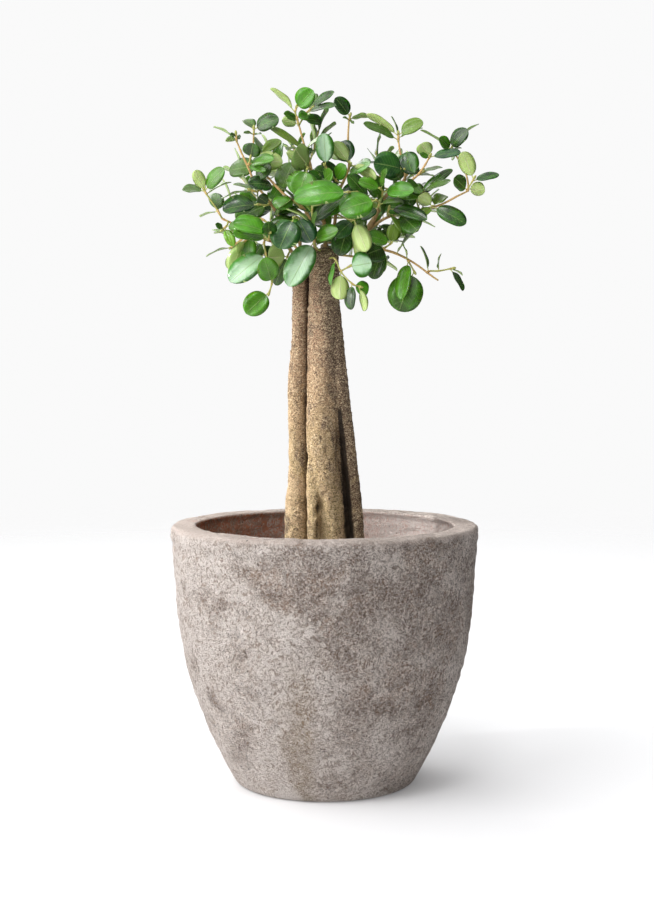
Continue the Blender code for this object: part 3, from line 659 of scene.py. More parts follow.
@dataclass(frozen=True)
class BarkFinish:
    """Thin ficus bark: tan with dark and pale flecks, redder at the top, mossy at the foot. Its colour also
    holds painted shade on the stems' right side and in hollows, and some painted light at the foot.
    """

    tan: Colour = (0.58, 0.385, 0.21)
    dark: Colour = (0.070, 0.036, 0.018)
    pale: Colour = (0.95, 0.75, 0.48)
    red: Colour = (0.46, 0.26, 0.16)
    # Grey-brown of stains, also used as painted shade on the stems' right side.
    grey: Colour = (0.17, 0.105, 0.068)
    moss: Colour = (0.52, 0.40, 0.15)
    # Paler tan at the foot: partly the wood's own colour, partly painted light.
    foot: Colour = (0.80, 0.56, 0.32)
    low: float = 0.40
    high: float = 0.56

    def material(self) -> bpy.types.Material:
        """The material: flecks and pits in the bark, whose colour changes with height.

        Returns:
            The material.
        """
        tree = Tree("ficus_bark")
        x, _, z = tree.split(tree.place)
        across = tree.stretched((1.0, 1.0, 1.35))
        flecks = tree.noise(0.0034, 4.0, 0.74, 0.9, across)
        specks = tree.noise(0.0015, 3.0, 0.7, 0.3, across)
        clouds = tree.noise(0.030, 4.0, 0.6, 0.5, tree.stretched((1.0, 1.0, 0.5)))
        stains = tree.noise(0.019, 5.0, 0.65, 0.9, tree.stretched((1.0, 1.0, 0.6)))
        worn = tree.band(tree.noise(0.024, 3.0, 0.6, 0.6), 0.38, 0.60, 0.20, 0.85)
        up = tree.band(tree.math("MULTIPLY_ADD", clouds, 0.16, z), self.low + 0.06, self.high + 0.08)
        # Paler towards the foot: partly the wood's own colour, partly painted light where the pot's rim
        # shades the foot.
        colour = tree.mix(tree.band(z, 0.38, 0.30), self.tan, self.foot)
        colour = tree.mix(up, colour, self.red)
        mossy = tree.math("MULTIPLY", tree.band(clouds, 0.42, 0.60), tree.band(z, 0.52, 0.30))
        colour = tree.mix(tree.math("MULTIPLY", mossy, 0.45), colour, self.moss)
        # Painted shade: stains turn grey more often towards the right, away from the light, and higher up a
        # plain grey shade darkens the right side.
        shaded_side = tree.math("MULTIPLY_ADD", tree.math("SUBTRACT", 0.5, z), -0.13, x)
        turned = tree.math("MULTIPLY_ADD", tree.band(shaded_side, -0.012, 0.014), 0.20, stains)
        colour = tree.mix(tree.band(turned, 0.52, 0.68, 0.0, 0.9), colour, self.grey)
        painted_right_shade = tree.math("MULTIPLY", tree.band(shaded_side, -0.004, 0.014), tree.band(z, 0.34, 0.46, 0.10, 0.72))
        colour = tree.mix(painted_right_shade, colour, self.grey)
        colour = tree.mix(tree.band(stains, 0.42, 0.30, 0.0, 0.5), colour, self.dark)
        colour = tree.mix(tree.math("MULTIPLY", tree.band(flecks, 0.48, 0.38), worn), colour, self.dark)
        colour = tree.mix(tree.math("MULTIPLY", tree.band(flecks, 0.53, 0.64), worn), colour, self.pale)
        colour = tree.mix(tree.band(specks, 0.54, 0.61, 0.0, 0.85), colour, self.pale)
        colour = tree.mix(tree.band(specks, 0.45, 0.38, 0.0, 0.75), colour, self.dark)
        rings = self.rings(tree, z)
        ringed = tree.math("MULTIPLY", rings, tree.band(stains, 0.56, 0.44, 0.1, 0.6))
        colour = tree.mix(ringed, colour, self.pale)
        # Painted shade from the mark: near black in the dents, in the recess between the front stem's legs
        # and down the left stem's right side.
        painted_crease_shade = tree.split(tree.attribute("mark").outputs["Vector"])[0]
        colour = tree.mix(painted_crease_shade, colour, tuple(0.3 * part for part in self.dark))
        relief = tree.bump(flecks, 0.0032)
        relief = tree.bump(specks, 0.0017, relief)
        relief = tree.bump(rings, 0.0006, relief)
        tree.set(Base_Color=colour, Roughness=0.72, Normal=relief, Specular_IOR_Level=0.4)
        return tree.material

    @staticmethod
    def rings(tree: Tree, z: Socket) -> Socket:
        """Thin pale wrinkles across the upper stem, about 4 mm apart and bent by noise."""
        count = tree.math("MULTIPLY_ADD", z, 250.0, tree.math("MULTIPLY", tree.noise(0.016, 3.0, 0.6), 5.0))
        return tree.math("MULTIPLY", tree.band(tree.off_middle(count), 0.16, 0.04), tree.band(z, 0.44, 0.54))


@dataclass(frozen=True)
class TwigFinish:
    """Young wood: brown where it is thick, pinkish tan on shoots, green by the last leaves."""

    brown: Colour = (0.43, 0.265, 0.12)
    shoot: Colour = (0.70, 0.44, 0.17)
    green: Colour = (0.46, 0.48, 0.12)

    def material(self) -> bpy.types.Material:
        """The material: its colour follows the wood's age, kept in the attribute mark.

        Returns:
            The material.
        """
        tree = Tree("ficus_twig")
        age = tree.split(tree.attribute("mark").outputs["Vector"])[0]
        grain = tree.noise(0.0016, 3.0, 0.6, 0.3, tree.stretched((1.0, 1.0, 0.6)))
        colour = tree.mix(tree.band(age, 0.25, 0.75), self.green, self.shoot)
        colour = tree.mix(tree.band(age, 1.2, 2.0), colour, self.brown)
        dots = tree.band(tree.cells(0.0032), 0.17, 0.09)
        shadow = tuple(0.45 * part for part in self.brown)
        colour = tree.mix(tree.band(grain, 0.56, 0.36, 0.0, 0.5), colour, shadow)
        colour = tree.mix(tree.math("MULTIPLY", dots, 0.55), colour, (0.66, 0.52, 0.36))
        relief = tree.bump(grain, 0.0004)
        tree.set(Base_Color=colour, Roughness=0.6, Normal=relief)
        return tree.material


@dataclass(frozen=True)
class LeafFinish:
    """Thick ficus leaf: glossy green above with a pale midrib, dull yellow-green below, and a painted
    whitish sheen on a few leaves.
    """

    deep: Colour = (0.005, 0.034, 0.004)
    fresh: Colour = (0.125, 0.50, 0.006)
    blue: Colour = (0.010, 0.085, 0.034)
    olive: Colour = (0.22, 0.31, 0.040)
    # Whitish colour of the painted sheen.
    painted_sheen: Colour = (0.60, 0.82, 0.58)
    rib: Colour = (0.36, 0.55, 0.15)
    under: Colour = (0.47, 0.60, 0.20)
    under_rib: Colour = (0.64, 0.72, 0.34)
    stalk: Colour = (0.50, 0.52, 0.16)

    def material(self) -> bpy.types.Material:
        """The material.

        The attribute leaf holds u along the blade, negative on the stalk, v across it, and
        the side. Side veins lie where u * 9 - |v| * 2.6 is whole. The attribute tone holds
        how fresh, how yellow and how blue the leaf is; a high blue also brings a painted sheen.

        Returns:
            The material.
        """
        tree = Tree("ficus_leaf")
        u, v, _ = tree.split(tree.attribute("leaf").outputs["Vector"])
        side = tree.attribute("side").outputs["Fac"]
        fresh, olive, blue = tree.split(tree.attribute("tone").outputs["Vector"])
        off = tree.math("ABSOLUTE", v)
        mottle = tree.noise(0.011, 4.0, 0.6)
        fine = tree.noise(0.0019, 2.0, 0.5)
        upper = tree.mix(tree.math("ADD", fresh, tree.band(mottle, 0.3, 0.7, -0.17, 0.13)),
                         self.deep, self.fresh)
        upper = tree.mix(olive, upper, self.olive)
        upper = tree.mix(tree.math("MINIMUM", blue, 0.45), upper, self.blue)
        # Painted sheen: a whitish highlight on leaves whose blue is high (tone S), strongest near the midrib
        # in patches, fading towards the margin.
        sheen = tree.band(tree.math("ADD", off, mottle), 1.40, 0.85, 0.0, 0.68)
        upper = tree.mix(tree.math("MULTIPLY", sheen, tree.band(blue, 0.6, 0.9)), upper, self.painted_sheen)
        vein = self.veins(tree, u, off)
        rib = tree.band(off, 0.050, 0.016)
        upper = tree.mix(tree.math("MULTIPLY", vein, 0.12), upper, self.rib)
        upper = tree.mix(tree.math("MULTIPLY", rib, 0.42), upper, self.rib)
        upper = tree.mix(tree.band(off, 0.955, 0.998, 0.0, 0.45), upper, self.rib)
        under = tree.mix(tree.band(mottle, 0.3, 0.7, 0.0, 0.45), self.under, (0.36, 0.50, 0.13))
        under = tree.mix(tree.band(fresh, 0.7, 0.1, 0.0, 0.55), under, (0.22, 0.34, 0.12))
        under = tree.mix(tree.math("MULTIPLY", vein, 0.35), under, self.under_rib)
        under = tree.mix(tree.band(off, 0.085, 0.03, 0.0, 0.9), under, self.under_rib)
        colour = tree.mix(side, under, upper)
        colour = tree.mix(tree.band(u, 0.02, -0.02), colour, self.stalk)
        relief = tree.bump(tree.math("ADD", tree.math("MULTIPLY", vein, 0.3), rib), 0.0005)
        relief = tree.bump(fine, 0.00012, relief)
        rough = tree.math("ADD", tree.band(mottle, 0.3, 0.7, 0.27, 0.36),
                          tree.math("MULTIPLY_ADD", side, -0.22, 0.22))
        tree.set(Base_Color=colour, Roughness=rough, Normal=relief, Subsurface_Weight=0.12,
                 Subsurface_Radius=(0.4, 1.0, 0.15), Subsurface_Scale=0.0015, Coat_Weight=0.50,
                 Coat_Roughness=0.20, Specular_IOR_Level=0.30)
        return tree.material

    @staticmethod
    def veins(tree: Tree, u: Socket, off: Socket) -> Socket:
        """Side veins, one where each vein's count is whole, fading out at the margin."""
        count = tree.math("SUBTRACT", tree.math("MULTIPLY", u, 9.0), tree.math("MULTIPLY", off, 2.6))
        return tree.math("MULTIPLY", tree.band(tree.off_middle(count), 0.10, 0.02), tree.band(off, 0.9, 0.6))


@dataclass(frozen=True)
class SoilFinish:
    """Potting soil: dark crumbs, or paler grains of bark and pumice among them."""

    name: str
    dark: Colour
    pale: Colour

    def material(self) -> bpy.types.Material:
        """The material: crumbs from noise, damp where it is dark.

        Returns:
            The material.
        """
        tree = Tree(self.name)
        crumbs = tree.noise(0.0045, 5.0, 0.7, 0.4)
        patches = tree.noise(0.03, 3.0)
        colour = tree.mix(tree.band(crumbs, 0.36, 0.66), self.dark, self.pale)
        colour = tree.mix(tree.band(patches, 0.4, 0.6, 0.0, 0.5), colour, self.dark)
        relief = tree.bump(crumbs, 0.0025)
        tree.set(Base_Color=colour, Roughness=0.92, Normal=relief, Specular_IOR_Level=0.25)
        return tree.material


@dataclass(frozen=True)
class StudioFinish:
    """A matt white floor that gives way to the white background away from the plant."""

    white: Colour = (0.80, 0.80, 0.81)
    glow: float = 0.16
    clear_from: float = 1.1
    clear_to: float = 3.2

    def material(self) -> bpy.types.Material:
        """The material: it turns transparent with the distance from the plant.

        Returns:
            The material.
        """
        tree = Tree("studio_floor")
        length = tree.nodes.new("ShaderNodeVectorMath")
        length.operation = "LENGTH"
        tree.put(length.inputs[0], tree.place)
        clear = tree.nodes.new("ShaderNodeBsdfTransparent")
        both = tree.nodes.new("ShaderNodeMixShader")
        tree.put(both.inputs[0], tree.band(length.outputs["Value"], self.clear_from, self.clear_to))
        tree.put(both.inputs[1], tree.shader.outputs[0])
        tree.put(both.inputs[2], clear.outputs[0])
        tree.put(tree.nodes["Material Output"].inputs["Surface"], both.outputs[0])
        tree.set(Base_Color=self.white, Roughness=0.9, Specular_IOR_Level=0.1,
                 Emission_Color=self.white, Emission_Strength=self.glow)
        return tree.material


# ---------------------------------------------------------------- pot and soil


@dataclass
class Pot:
    """The turned pot: sizes in metres, as the CAD pot's, and the wear that age has left."""

    height: float = 0.293
    belly_radius: float = 0.1685
    foot_radius: float = 0.1005
    belly_height: float = 0.235
    wall_power: float = 2.05
    wall: float = 0.0215
    floor: float = 0.024
    foot_rounding: float = 0.005
    flare: float = 0.0032
    flare_from: float = 0.215
    flare_to: float = 0.275
    collar_proud: float = 0.0018
    collar_from: float = 0.272
    collar_to: float = 0.281
    rim_rounding: float = 0.0050
    lip_rounding: float = 0.0028
    lip_radius: float = 0.145
    drain_count: int = 3
    drain_radius: float = 0.007
    drain_circle: float = 0.035
    drain_bearing: float = 26.0
    throat_to: float = 0.236
    bowl_from: float = 0.21
    around: int = 448

    def bowl(self, height: np.ndarray) -> np.ndarray:
        """Radius of the bare bowl: below the belly it shrinks by a power of the height left."""
        share = np.clip(1.0 - height / self.belly_height, 0.0, 1.0)
        return self.belly_radius - (self.belly_radius - self.foot_radius) * share**self.wall_power

    def outer_radius(self, height: np.ndarray) -> np.ndarray:
        """Radius of the outer wall: it flares above the belly, and the collar stands just proud.

        Args:
            height: Heights above the foot.

        Returns:
            The radius at each height.
        """
        flare = self.flare * smooth_step(height, self.flare_from, self.flare_to)
        collar = self.collar_proud * smooth_step(height, self.collar_from, self.collar_to)
        return self.bowl(height) + flare + collar

    def profile(self) -> np.ndarray:
        """Radius and height of the section, from the foot's middle, up outside and down inside.

        Returns:
            One row for each point.
        """
        foot = np.linspace(0.002, self.foot_radius - 0.006, 16)
        bottom = np.stack([foot, np.zeros_like(foot)], axis=1)
        turn = np.radians(np.linspace(-80, -5, 5))
        corner_z = self.foot_rounding * (1.0 + np.sin(turn))
        corner_r = self.outer_radius(corner_z) - self.foot_rounding * (1.0 - np.cos(turn))
        corner = np.stack([corner_r, corner_z], axis=1)
        rim_z = self.height - self.rim_rounding
        heights = np.linspace(self.foot_rounding + 0.001, rim_z, 118)
        outside = np.stack([self.outer_radius(heights), heights], axis=1)
        turn = np.radians(np.linspace(8, 90, 8))
        collar = self.belly_radius + self.flare + self.collar_proud
        over = np.stack([collar - self.rim_rounding * (1.0 - np.cos(turn)),
                         rim_z + self.rim_rounding * np.sin(turn)], axis=1)
        flat_from, flat_to = over[-1, 0], self.lip_radius + self.lip_rounding
        flat = np.stack([np.linspace(flat_from, flat_to, 10)[1:-1], np.full(8, self.height)], axis=1)
        turn = np.radians(np.linspace(90, 180, 6))
        lip_z = self.height - self.lip_rounding
        lip = np.stack([self.lip_radius + self.lip_rounding * (1.0 + np.cos(turn)),
                        lip_z + self.lip_rounding * np.sin(turn)], axis=1)
        depths = np.concatenate([np.linspace(lip_z - 0.002, self.throat_to, 22),
                                 np.linspace(self.bowl_from, self.floor, 9)])
        inner = np.minimum(self.bowl(depths) - self.wall, self.lip_radius + 0.4 * (lip_z - depths))
        inside = np.stack([inner, depths], axis=1)
        base = np.stack([np.linspace(inner[-1] - 0.004, 0.002, 9), np.full(9, self.floor)], axis=1)
        return np.concatenate([bottom, corner, outside, over, flat, lip, inside, base])

    def relief(self, points: np.ndarray, rows: np.ndarray) -> np.ndarray:
        """How far age and the potter's hand move each point of the wall outwards.

        A slow swell, dents a hand wide, a coarse skin, and pits where coarse noise is low.
        Chips bite into the rim's edges. The foot's flat face and the floor keep still.

        Args:
            points: Places on the wall, by row and angle.
            rows: The section's rows.

        Returns:
            Metres outwards, by row and angle.
        """
        swell = 0.0009 * fractal(points, 0.11, 2, 3)
        skin = 0.00075 * fractal(points * np.array([1.0, 1.0, 1.3]), 0.017, 3, 11)
        pits = -0.0011 * smooth_step(-value_noise(points, 0.0085, 23), 0.42, 0.85)
        rings = 0.00022 * np.sin(TAU * rows[:, None, 1] / 0.0145 + 2.0 * value_noise(points, 0.08, 5))
        near_rim = smooth_step(rows[:, 1], self.height - 0.014, self.height - 0.002)[:, None]
        chips = -0.0012 * near_rim * smooth_step(fractal(points, 0.015, 2, 41), 0.55, 1.0)
        still = smooth_step(rows[:, 1], 0.001, 0.008)
        still = still * np.where(rows[:, 0] < 0.12, smooth_step(rows[:, 1], self.floor, 0.05), 1.0)
        return (swell + skin + pits + rings + chips) * still[:, None]

    def turned(self, section: np.ndarray) -> np.ndarray:
        """Rows of radius and height, carried round the axis.

        Args:
            section: One row for each point of the section.

        Returns:
            x, y and z for each row and angle.
        """
        angles = TAU * np.arange(self.around) / self.around
        spin = np.stack([np.cos(angles), np.sin(angles)], axis=-1)
        upright = np.repeat(section[:, 1, None], self.around, 1)[..., None]
        return np.concatenate([section[:, None, :1] * spin[None], upright], axis=-1)

    def build(self) -> bpy.types.Object:
        """Turns the section round the axis, wears it, drills its drain holes and dresses it.

        Returns:
            The pot.
        """
        rows = self.profile()
        places = self.turned(rows)
        slope = unit(np.gradient(rows, axis=0))
        outward = self.turned(np.stack([slope[:, 1], -slope[:, 0]], axis=-1))
        rings = places + outward * self.relief(places, rows)[..., None]
        rings[..., 2] = np.clip(rings[..., 2], 0.0, self.height + 0.0006)
        poles = np.array([[[0.0, 0.0, 0.0], [0.0, 0.0, self.floor]]])
        surface = Surface()
        surface.add_rings(rings[None], poles)
        mesh = surface.mesh("pot_terracotta")
        made = piece("pot_terracotta", mesh, TerracottaFinish().material(), ("pot",))
        self.drill(made)
        self.mark(made.data)
        return made

    def mark(self, mesh: bpy.types.Mesh) -> None:
        """Writes where the pot is bare clay inside, where its rim is worn, and its chip.

        Args:
            mesh: The drilled pot's mesh.
        """
        points = vertex_values(mesh)
        below = self.height - points[:, 2]
        depth = self.outer_radius(points[:, 2]) - np.hypot(points[:, 0], points[:, 1])
        marks = np.zeros_like(points)
        marks[:, 0] = smooth_step(depth, 0.010, 0.014) * smooth_step(below, 0.0003, 0.0024)
        marks[:, 0] *= points[:, 2] > 0.5 * self.floor
        marks[:, 1] = smooth_step(-below, -0.0075, -0.0015)
        chip = (points - np.array([-0.038, -self.foot_radius + 0.006, 0.007])) / np.array([1.7, 1.0, 0.8])
        marks[:, 2] = 0.8 * smooth_step(-np.linalg.norm(chip, axis=1), -0.013, -0.008)
        mesh.attributes["mark"].data.foreach_set("vector", marks.astype(np.float32).ravel())

    def drill(self, made: bpy.types.Object) -> None:
        """Cuts the drain holes through the floor.

        Args:
            made: The pot, whose mesh is replaced.
        """
        bearings = np.radians(self.drain_bearing) + TAU * np.arange(self.drain_count) / self.drain_count
        drills = Surface()
        for bearing in bearings:
            middle = self.drain_circle * np.array([np.cos(bearing), np.sin(bearing), 0.0])
            heights = np.linspace(-0.01, self.floor + 0.01, 3)
            path = middle + heights[:, None] * np.array([0.0, 0.0, 1.0])
            rings, poles = tube(path, np.full(3, self.drain_radius), 40)
            drills.add_rings(rings[None], poles[None])
        cutter = bpy.data.objects.new("drain_drills", drills.mesh("drain_drills"))
        into_scene(cutter)
        cut = made.modifiers.new("Drains", "BOOLEAN")
        cut.object = cutter
        bpy.context.view_layer.update()
        graph = bpy.context.evaluated_depsgraph_get()
        drilled = bpy.data.meshes.new_from_object(made.evaluated_get(graph))
        made.modifiers.clear()
        made.data = drilled
        bpy.data.objects.remove(cutter)


@dataclass
class Soil:
    """The soil's surface inside the pot, with loose grains on it."""

    top: float = 0.248
    crown: float = 0.004
    radius: float = 0.1462
    side: tuple[tuple[float, float], ...] = ((0.1455, 0.235), (0.136, 0.13), (0.104, 0.06))
    foot_radius: float = 0.0935
    foot_lift: float = 0.001
    grains: int = 1500
    around: int = 220
    across: int = 60

    def height(self, places: np.ndarray) -> np.ndarray:
        """The surface's height: a low dome with lumps, lower by the wall.

        Args:
            places: Places, with x, y, z last.

        Returns:
            The height at each place.
        """
        off = np.linalg.norm(places[..., :2], axis=-1) / self.radius
        flat = places * np.array([1.0, 1.0, 0.0])
        lumps = 0.0022 * fractal(flat, 0.028, 2, 61) + 0.0012 * fractal(flat, 0.0075, 2, 71)
        return self.top + self.crown * (1.0 - off**2) + lumps - 0.002 * smooth_step(off, 0.9, 1.0)

    def build(self) -> bpy.types.Object:
        """The soil's body: a dome of rings with a side down to the pot's floor.

        Returns:
            The soil's body.
        """
        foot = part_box("soil")[0].z + self.foot_lift
        share = np.linspace(0.015, 1.0, self.across)
        angles = -TAU * np.arange(self.around) / self.around
        places = np.zeros((self.across, self.around, 3))
        places[..., 0] = self.radius * share[:, None] * np.cos(angles)
        places[..., 1] = self.radius * share[:, None] * np.sin(angles)
        places[..., 2] = self.height(places)
        side = np.array([*self.side, (self.foot_radius, foot)])
        ring = np.zeros((len(side), self.around, 3))
        ring[..., 0] = side[:, :1] * np.cos(angles)
        ring[..., 1] = side[:, :1] * np.sin(angles)
        ring[..., 2] = side[:, 1:]
        rings = np.concatenate([places, ring])
        middle = np.array([0.0, 0.0, self.height(np.zeros(3))])
        surface = Surface()
        surface.add_rings(rings[None], np.array([[middle, [0.0, 0.0, foot]]]))
        finish = SoilFinish("potting_soil", (0.016, 0.010, 0.007), (0.085, 0.052, 0.032)).material()
        return piece("soil_bed", surface.mesh("soil_bed"), finish, ("soil",))

    def scatter(self, stems: list[tuple[float, float, float]]) -> bpy.types.Object:
        """Loose grains of bark and pumice on the bed, none inside a stem.

        Each grain is a lumpy ball of three rings of six points, turned, squashed and sized
        by its own random numbers.

        Args:
            stems: x, y and radius of each stem at the surface.

        Returns:
            The object that holds all grains.
        """
        random = np.random.default_rng(7)
        angle = random.uniform(0.0, TAU, self.grains)
        off = (self.radius - 0.004) * np.sqrt(random.uniform(0.0, 1.0, self.grains))
        middle = np.stack([off * np.cos(angle), off * np.sin(angle), np.zeros(self.grains)], axis=-1)
        free = np.ones(self.grains, bool)
        for x, y, radius in stems:
            free &= np.hypot(middle[:, 0] - x, middle[:, 1] - y) > radius + 0.003
        middle = middle[free]
        size = 0.0011 + 0.0024 * random.uniform(0.0, 1.0, len(middle)) ** 2.2
        middle[:, 2] = self.height(middle) + 0.35 * size
        polar = np.radians([38.0, 90.0, 142.0])
        spin = TAU * np.arange(6) / 6
        ball = np.stack([np.sin(polar)[:, None] * np.cos(spin), np.sin(polar)[:, None] * np.sin(spin),
                         -np.cos(polar)[:, None] * np.ones(6)], axis=-1)
        body = np.concatenate([ball.reshape(-1, 3), [[0, 0, -1.0], [0, 0, 1.0]]])
        squash = random.uniform([0.75, 0.75, 0.45], [1.7, 1.1, 0.8], (len(middle), 3))
        lumps = 1.0 + 0.28 * random.uniform(-1.0, 1.0, (len(middle), len(body), 1))
        shapes = body[None] * lumps * squash[:, None] * size[:, None, None]
        turn = random.uniform(0.0, TAU, len(middle))
        cos, sin = np.cos(turn)[:, None], np.sin(turn)[:, None]
        turned = np.stack([shapes[..., 0] * cos - shapes[..., 1] * sin,
                           shapes[..., 0] * sin + shapes[..., 1] * cos, shapes[..., 2]], axis=-1)
        turned += middle[:, None]
        surface = Surface()
        surface.add_rings(turned[:, :18].reshape(-1, 3, 6, 3), turned[:, 18:])
        finish = SoilFinish("bark_and_pumice_grains", (0.045, 0.026, 0.015), (0.30, 0.21, 0.14)).material()
        return piece("soil_grains", surface.mesh("soil_grains"), finish)


# ---------------------------------------------------------------- stems


@dataclass(frozen=True)
class Stem:
    """A woody stem: its legs grow together where they meet.

    Each leg is a list of x, y, z and radius in millimetres, from the soil up.
    """

    name: str
    legs: tuple[tuple[tuple[float, float, float, float], ...], ...]


STEMS = (
    Stem("stem_left", (
        ((-33, 9, 225, 13.2), (-32.8, 8, 279, 12.6), (-31.5, 8, 319, 11.6), (-30.2, 8, 342, 11.0),
         (-29.6, 8, 387, 10.8), (-30, 8, 441, 12.2), (-27.4, 7, 500, 10.8), (-26.6, 6, 560, 10.6),
         (-26, 6, 597, 10.0)),
    )),
    Stem("stem_front", (
        ((10, -3, 225, 14.5), (9.6, -4, 279, 14.0), (6.6, -5, 319, 13.6), (1.8, -5, 342, 15.4),
         (-3.6, -5, 387, 17.0), (-3.4, -5, 432, 17.4), (-2.6, -4, 470, 17.6), (-1.8, -4, 500, 17.6),
         (-0.8, -4, 560, 17.2), (-1.5, -4, 596, 15.6)),
        ((40, 2, 225, 8.2), (37.6, 2, 279, 7.4), (34.0, 1, 319, 7.4), (31.6, 0, 342, 7.6),
         (25.4, -1, 387, 8.6), (18.6, -1, 425, 10.4), (12.0, -2, 470, 12.0), (7, -3, 520, 12.4),
         (2, -4, 560, 11)),
        ((-12, -13, 225, 8.0), (-12.4, -13, 279, 7.6), (-13, -12, 319, 7.2), (-13, -9, 342, 8.2),
         (-9, -6, 370, 9.0), (-6, -4, 400, 8.0)),
        ((26, 12, 225, 9.0), (24, 12, 300, 8.6), (20, 10, 360, 8.2), (15, 7, 410, 9.0), (9, 3, 450, 8.0)),
    )),
    Stem("stem_back", (
        ((17, 36, 225, 13.5), (17, 35, 279, 12.9), (14, 33, 342, 12.4), (8, 30, 416, 11.9),
         (4, 28, 500, 11.4), (4, 27, 560, 10.9), (6, 26, 606, 10.4)),
    )),
)


# Dents and scars in the bark, in millimetres: x, y and z of the middle, size and depth.
DENTS = (
    (-5.5, -17.0, 312.0, 4.2, 4.2), (-6.5, -18.0, 294.0, 2.6, 3.0), (-7.0, -18.0, 281.0, 2.6, 3.0),
    (12.0, -20.0, 452.0, 7.0, 1.5), (-4.0, -22.0, 500.0, 5.0, 0.9), (12.0, -18.0, 488.0, 6.0, 1.3),
    (17.0, -15.0, 414.0, 3.4, 3.0), (18.0, -13.0, 400.0, 3.6, 4.0), (19.5, -11.0, 385.0, 3.6, 4.0),
    (6.0, -20.0, 530.0, 5.0, 0.9), (-12.0, -19.0, 341.0, 4.5, 1.5),
)


@dataclass
class Trunk:
    """The stems as living wood: legs fused into one skin, then creased, ringed and pitted."""

    voxel: float = 0.00125
    smoothing: int = 9
    ring_from: float = 0.535
    ring_gap: float = 0.0043
    ring_depth: float = 0.0008

    def skin(self, stem: Stem) -> tuple[np.ndarray, np.ndarray, bpy.types.Mesh]:
        """One closed skin round all of a stem's legs.

        The legs are round rods through their rows. A voxel remesh joins them, and smoothing
        fills the seams between them as growing wood does.

        Args:
            stem: The stem to build.

        Returns:
            The skin's points, its normals and its mesh.
        """
        rods = Surface()
        for leg in stem.legs:
            rows = np.array(leg, float) * MM
            path, radii = smooth_path(rows[:, :3], rows[:, 3], 0.004)
            rings, poles = tube(path, radii, 48)
            rods.add_rings(rings[None], poles[None])
        maker = bpy.data.objects.new(f"{stem.name}_rods", rods.mesh(f"{stem.name}_rods"))
        into_scene(maker)
        remesh = maker.modifiers.new("Fuse", "REMESH")
        remesh.mode = "VOXEL"
        remesh.voxel_size = self.voxel
        smooth = maker.modifiers.new("Grow", "SMOOTH")
        smooth.factor = 0.5
        smooth.iterations = self.smoothing
        bpy.context.view_layer.update()
        graph = bpy.context.evaluated_depsgraph_get()
        mesh = bpy.data.meshes.new_from_object(maker.evaluated_get(graph))
        bpy.data.objects.remove(maker)
        return vertex_values(mesh), vertex_values(mesh, "normal"), mesh

    def relief(self, points: np.ndarray) -> np.ndarray:
        """How far bark stands out from the smooth wood.

        Long folds follow the stem, so their noise is stretched upwards. Fine rings near the
        cut top are a sine of the height, bent by noise. Small warts are peaks of noise.

        Args:
            points: Places on the smooth wood.

        Returns:
            Metres outwards.
        """
        folds = 0.0013 * fractal(points * np.array([1.0, 1.0, 0.20]), 0.017, 3, 101)
        lumps = 0.0007 * fractal(points, 0.012, 2, 131)
        wave = points[:, 2] / self.ring_gap + 0.8 * value_noise(points, 0.02, 151)
        ringed = smooth_step(points[:, 2], self.ring_from, self.ring_from + 0.03)
        ringed = ringed * (0.55 + 0.45 * value_noise(points, 0.015, 161))
        rings = self.ring_depth * ringed * np.sin(TAU * wave)
        peaks = value_noise(points * np.array([1.0, 1.0, 1.8]), 0.0048, 171)
        warts = 0.0008 * smooth_step(peaks, 0.55, 0.9)
        grain = 0.00036 * fractal(points * np.array([1.0, 1.0, 1.3]), 0.0036, 2, 181)
        return folds + lumps + rings + warts + grain

    def hollows(self, points: np.ndarray) -> np.ndarray:
        """How far dents and scars push the bark in, each fading as the square of the distance.

        Args:
            points: Places on the smooth wood.

        Returns:
            Metres inwards.
        """
        total = np.zeros(len(points))
        for x, y, z, size, depth in DENTS:
            away = (points - np.array([x, y, z]) * MM) / (size * MM)
            away = away * np.array([1.0, 1.0, 0.55])
            total += depth * MM * np.exp(-np.sum(away**2, axis=1))
        return total

    def slit_shade(self, points: np.ndarray) -> np.ndarray:
        """Painted shade in the recess between the front stem's legs: how dark it is; it widens from its top
        down.

        Args:
            points: Places on the smooth wood.

        Returns:
            0 outside the recess, up to 0.94 in it.
        """
        down = np.clip((0.428 - points[:, 2]) / 0.146, 0.0, 1.2)
        off = np.abs(points[:, 0] - (0.0162 + 0.0118 * down)) / (0.0022 + 0.0030 * down)
        recess = smooth_step(-off, -1.35, -0.75) * smooth_step(-points[:, 1], -0.020, -0.014)
        return 0.94 * recess * smooth_step(down, 0.0, 0.06)

    def build(self) -> list[bpy.types.Object]:
        """Builds and dresses every stem."""
        finish = BarkFinish().material()
        return [self.build_stem(stem, finish) for stem in STEMS]

    def build_stem(self, stem: Stem, finish: bpy.types.Material) -> bpy.types.Object:
        """One stem: its skin moved along its normals by the bark's relief.

        Args:
            stem: The stem.
            finish: The bark material.

        Returns:
            The new object.
        """
        points, normals, mesh = self.skin(stem)
        hollow = self.hollows(points)
        moved = points + normals * (self.relief(points) - hollow)[:, None]
        mesh.vertices.foreach_set("co", moved.astype(np.float32).ravel())
        mark = mesh.attributes.new("mark", "FLOAT_VECTOR", "POINT")
        marks = np.zeros((len(points), 3), np.float32)
        # The mark holds painted shade: in the dents and scars, in the recess between the front stem's legs,
        # and on the left stem's right side next to the front stem.
        marks[:, 0] = np.maximum(0.8 * smooth_step(hollow, 0.0012, 0.003), self.slit_shade(points))
        if stem.name == "stem_left":
            marks[:, 0] = 0.75 * smooth_step(points[:, 0], -0.0265, -0.0185)
        mark.data.foreach_set("vector", marks.ravel())
        mesh.update()
        mesh.shade_smooth()
        return piece(f"{stem.name}_bark", mesh, finish, (stem.name,))


# ---------------------------------------------------------------- crown


@dataclass(frozen=True)
class Limb:
    """A limb's route as in the CAD: sighted points in millimetres, from its parent outwards."""

    name: str
    parent: str
    at: float
    route: tuple[tuple[float, float, float], ...]
    radii: tuple[float, float]
    carries: str
    aside: tuple[float, float] = (0.0, 0.0)


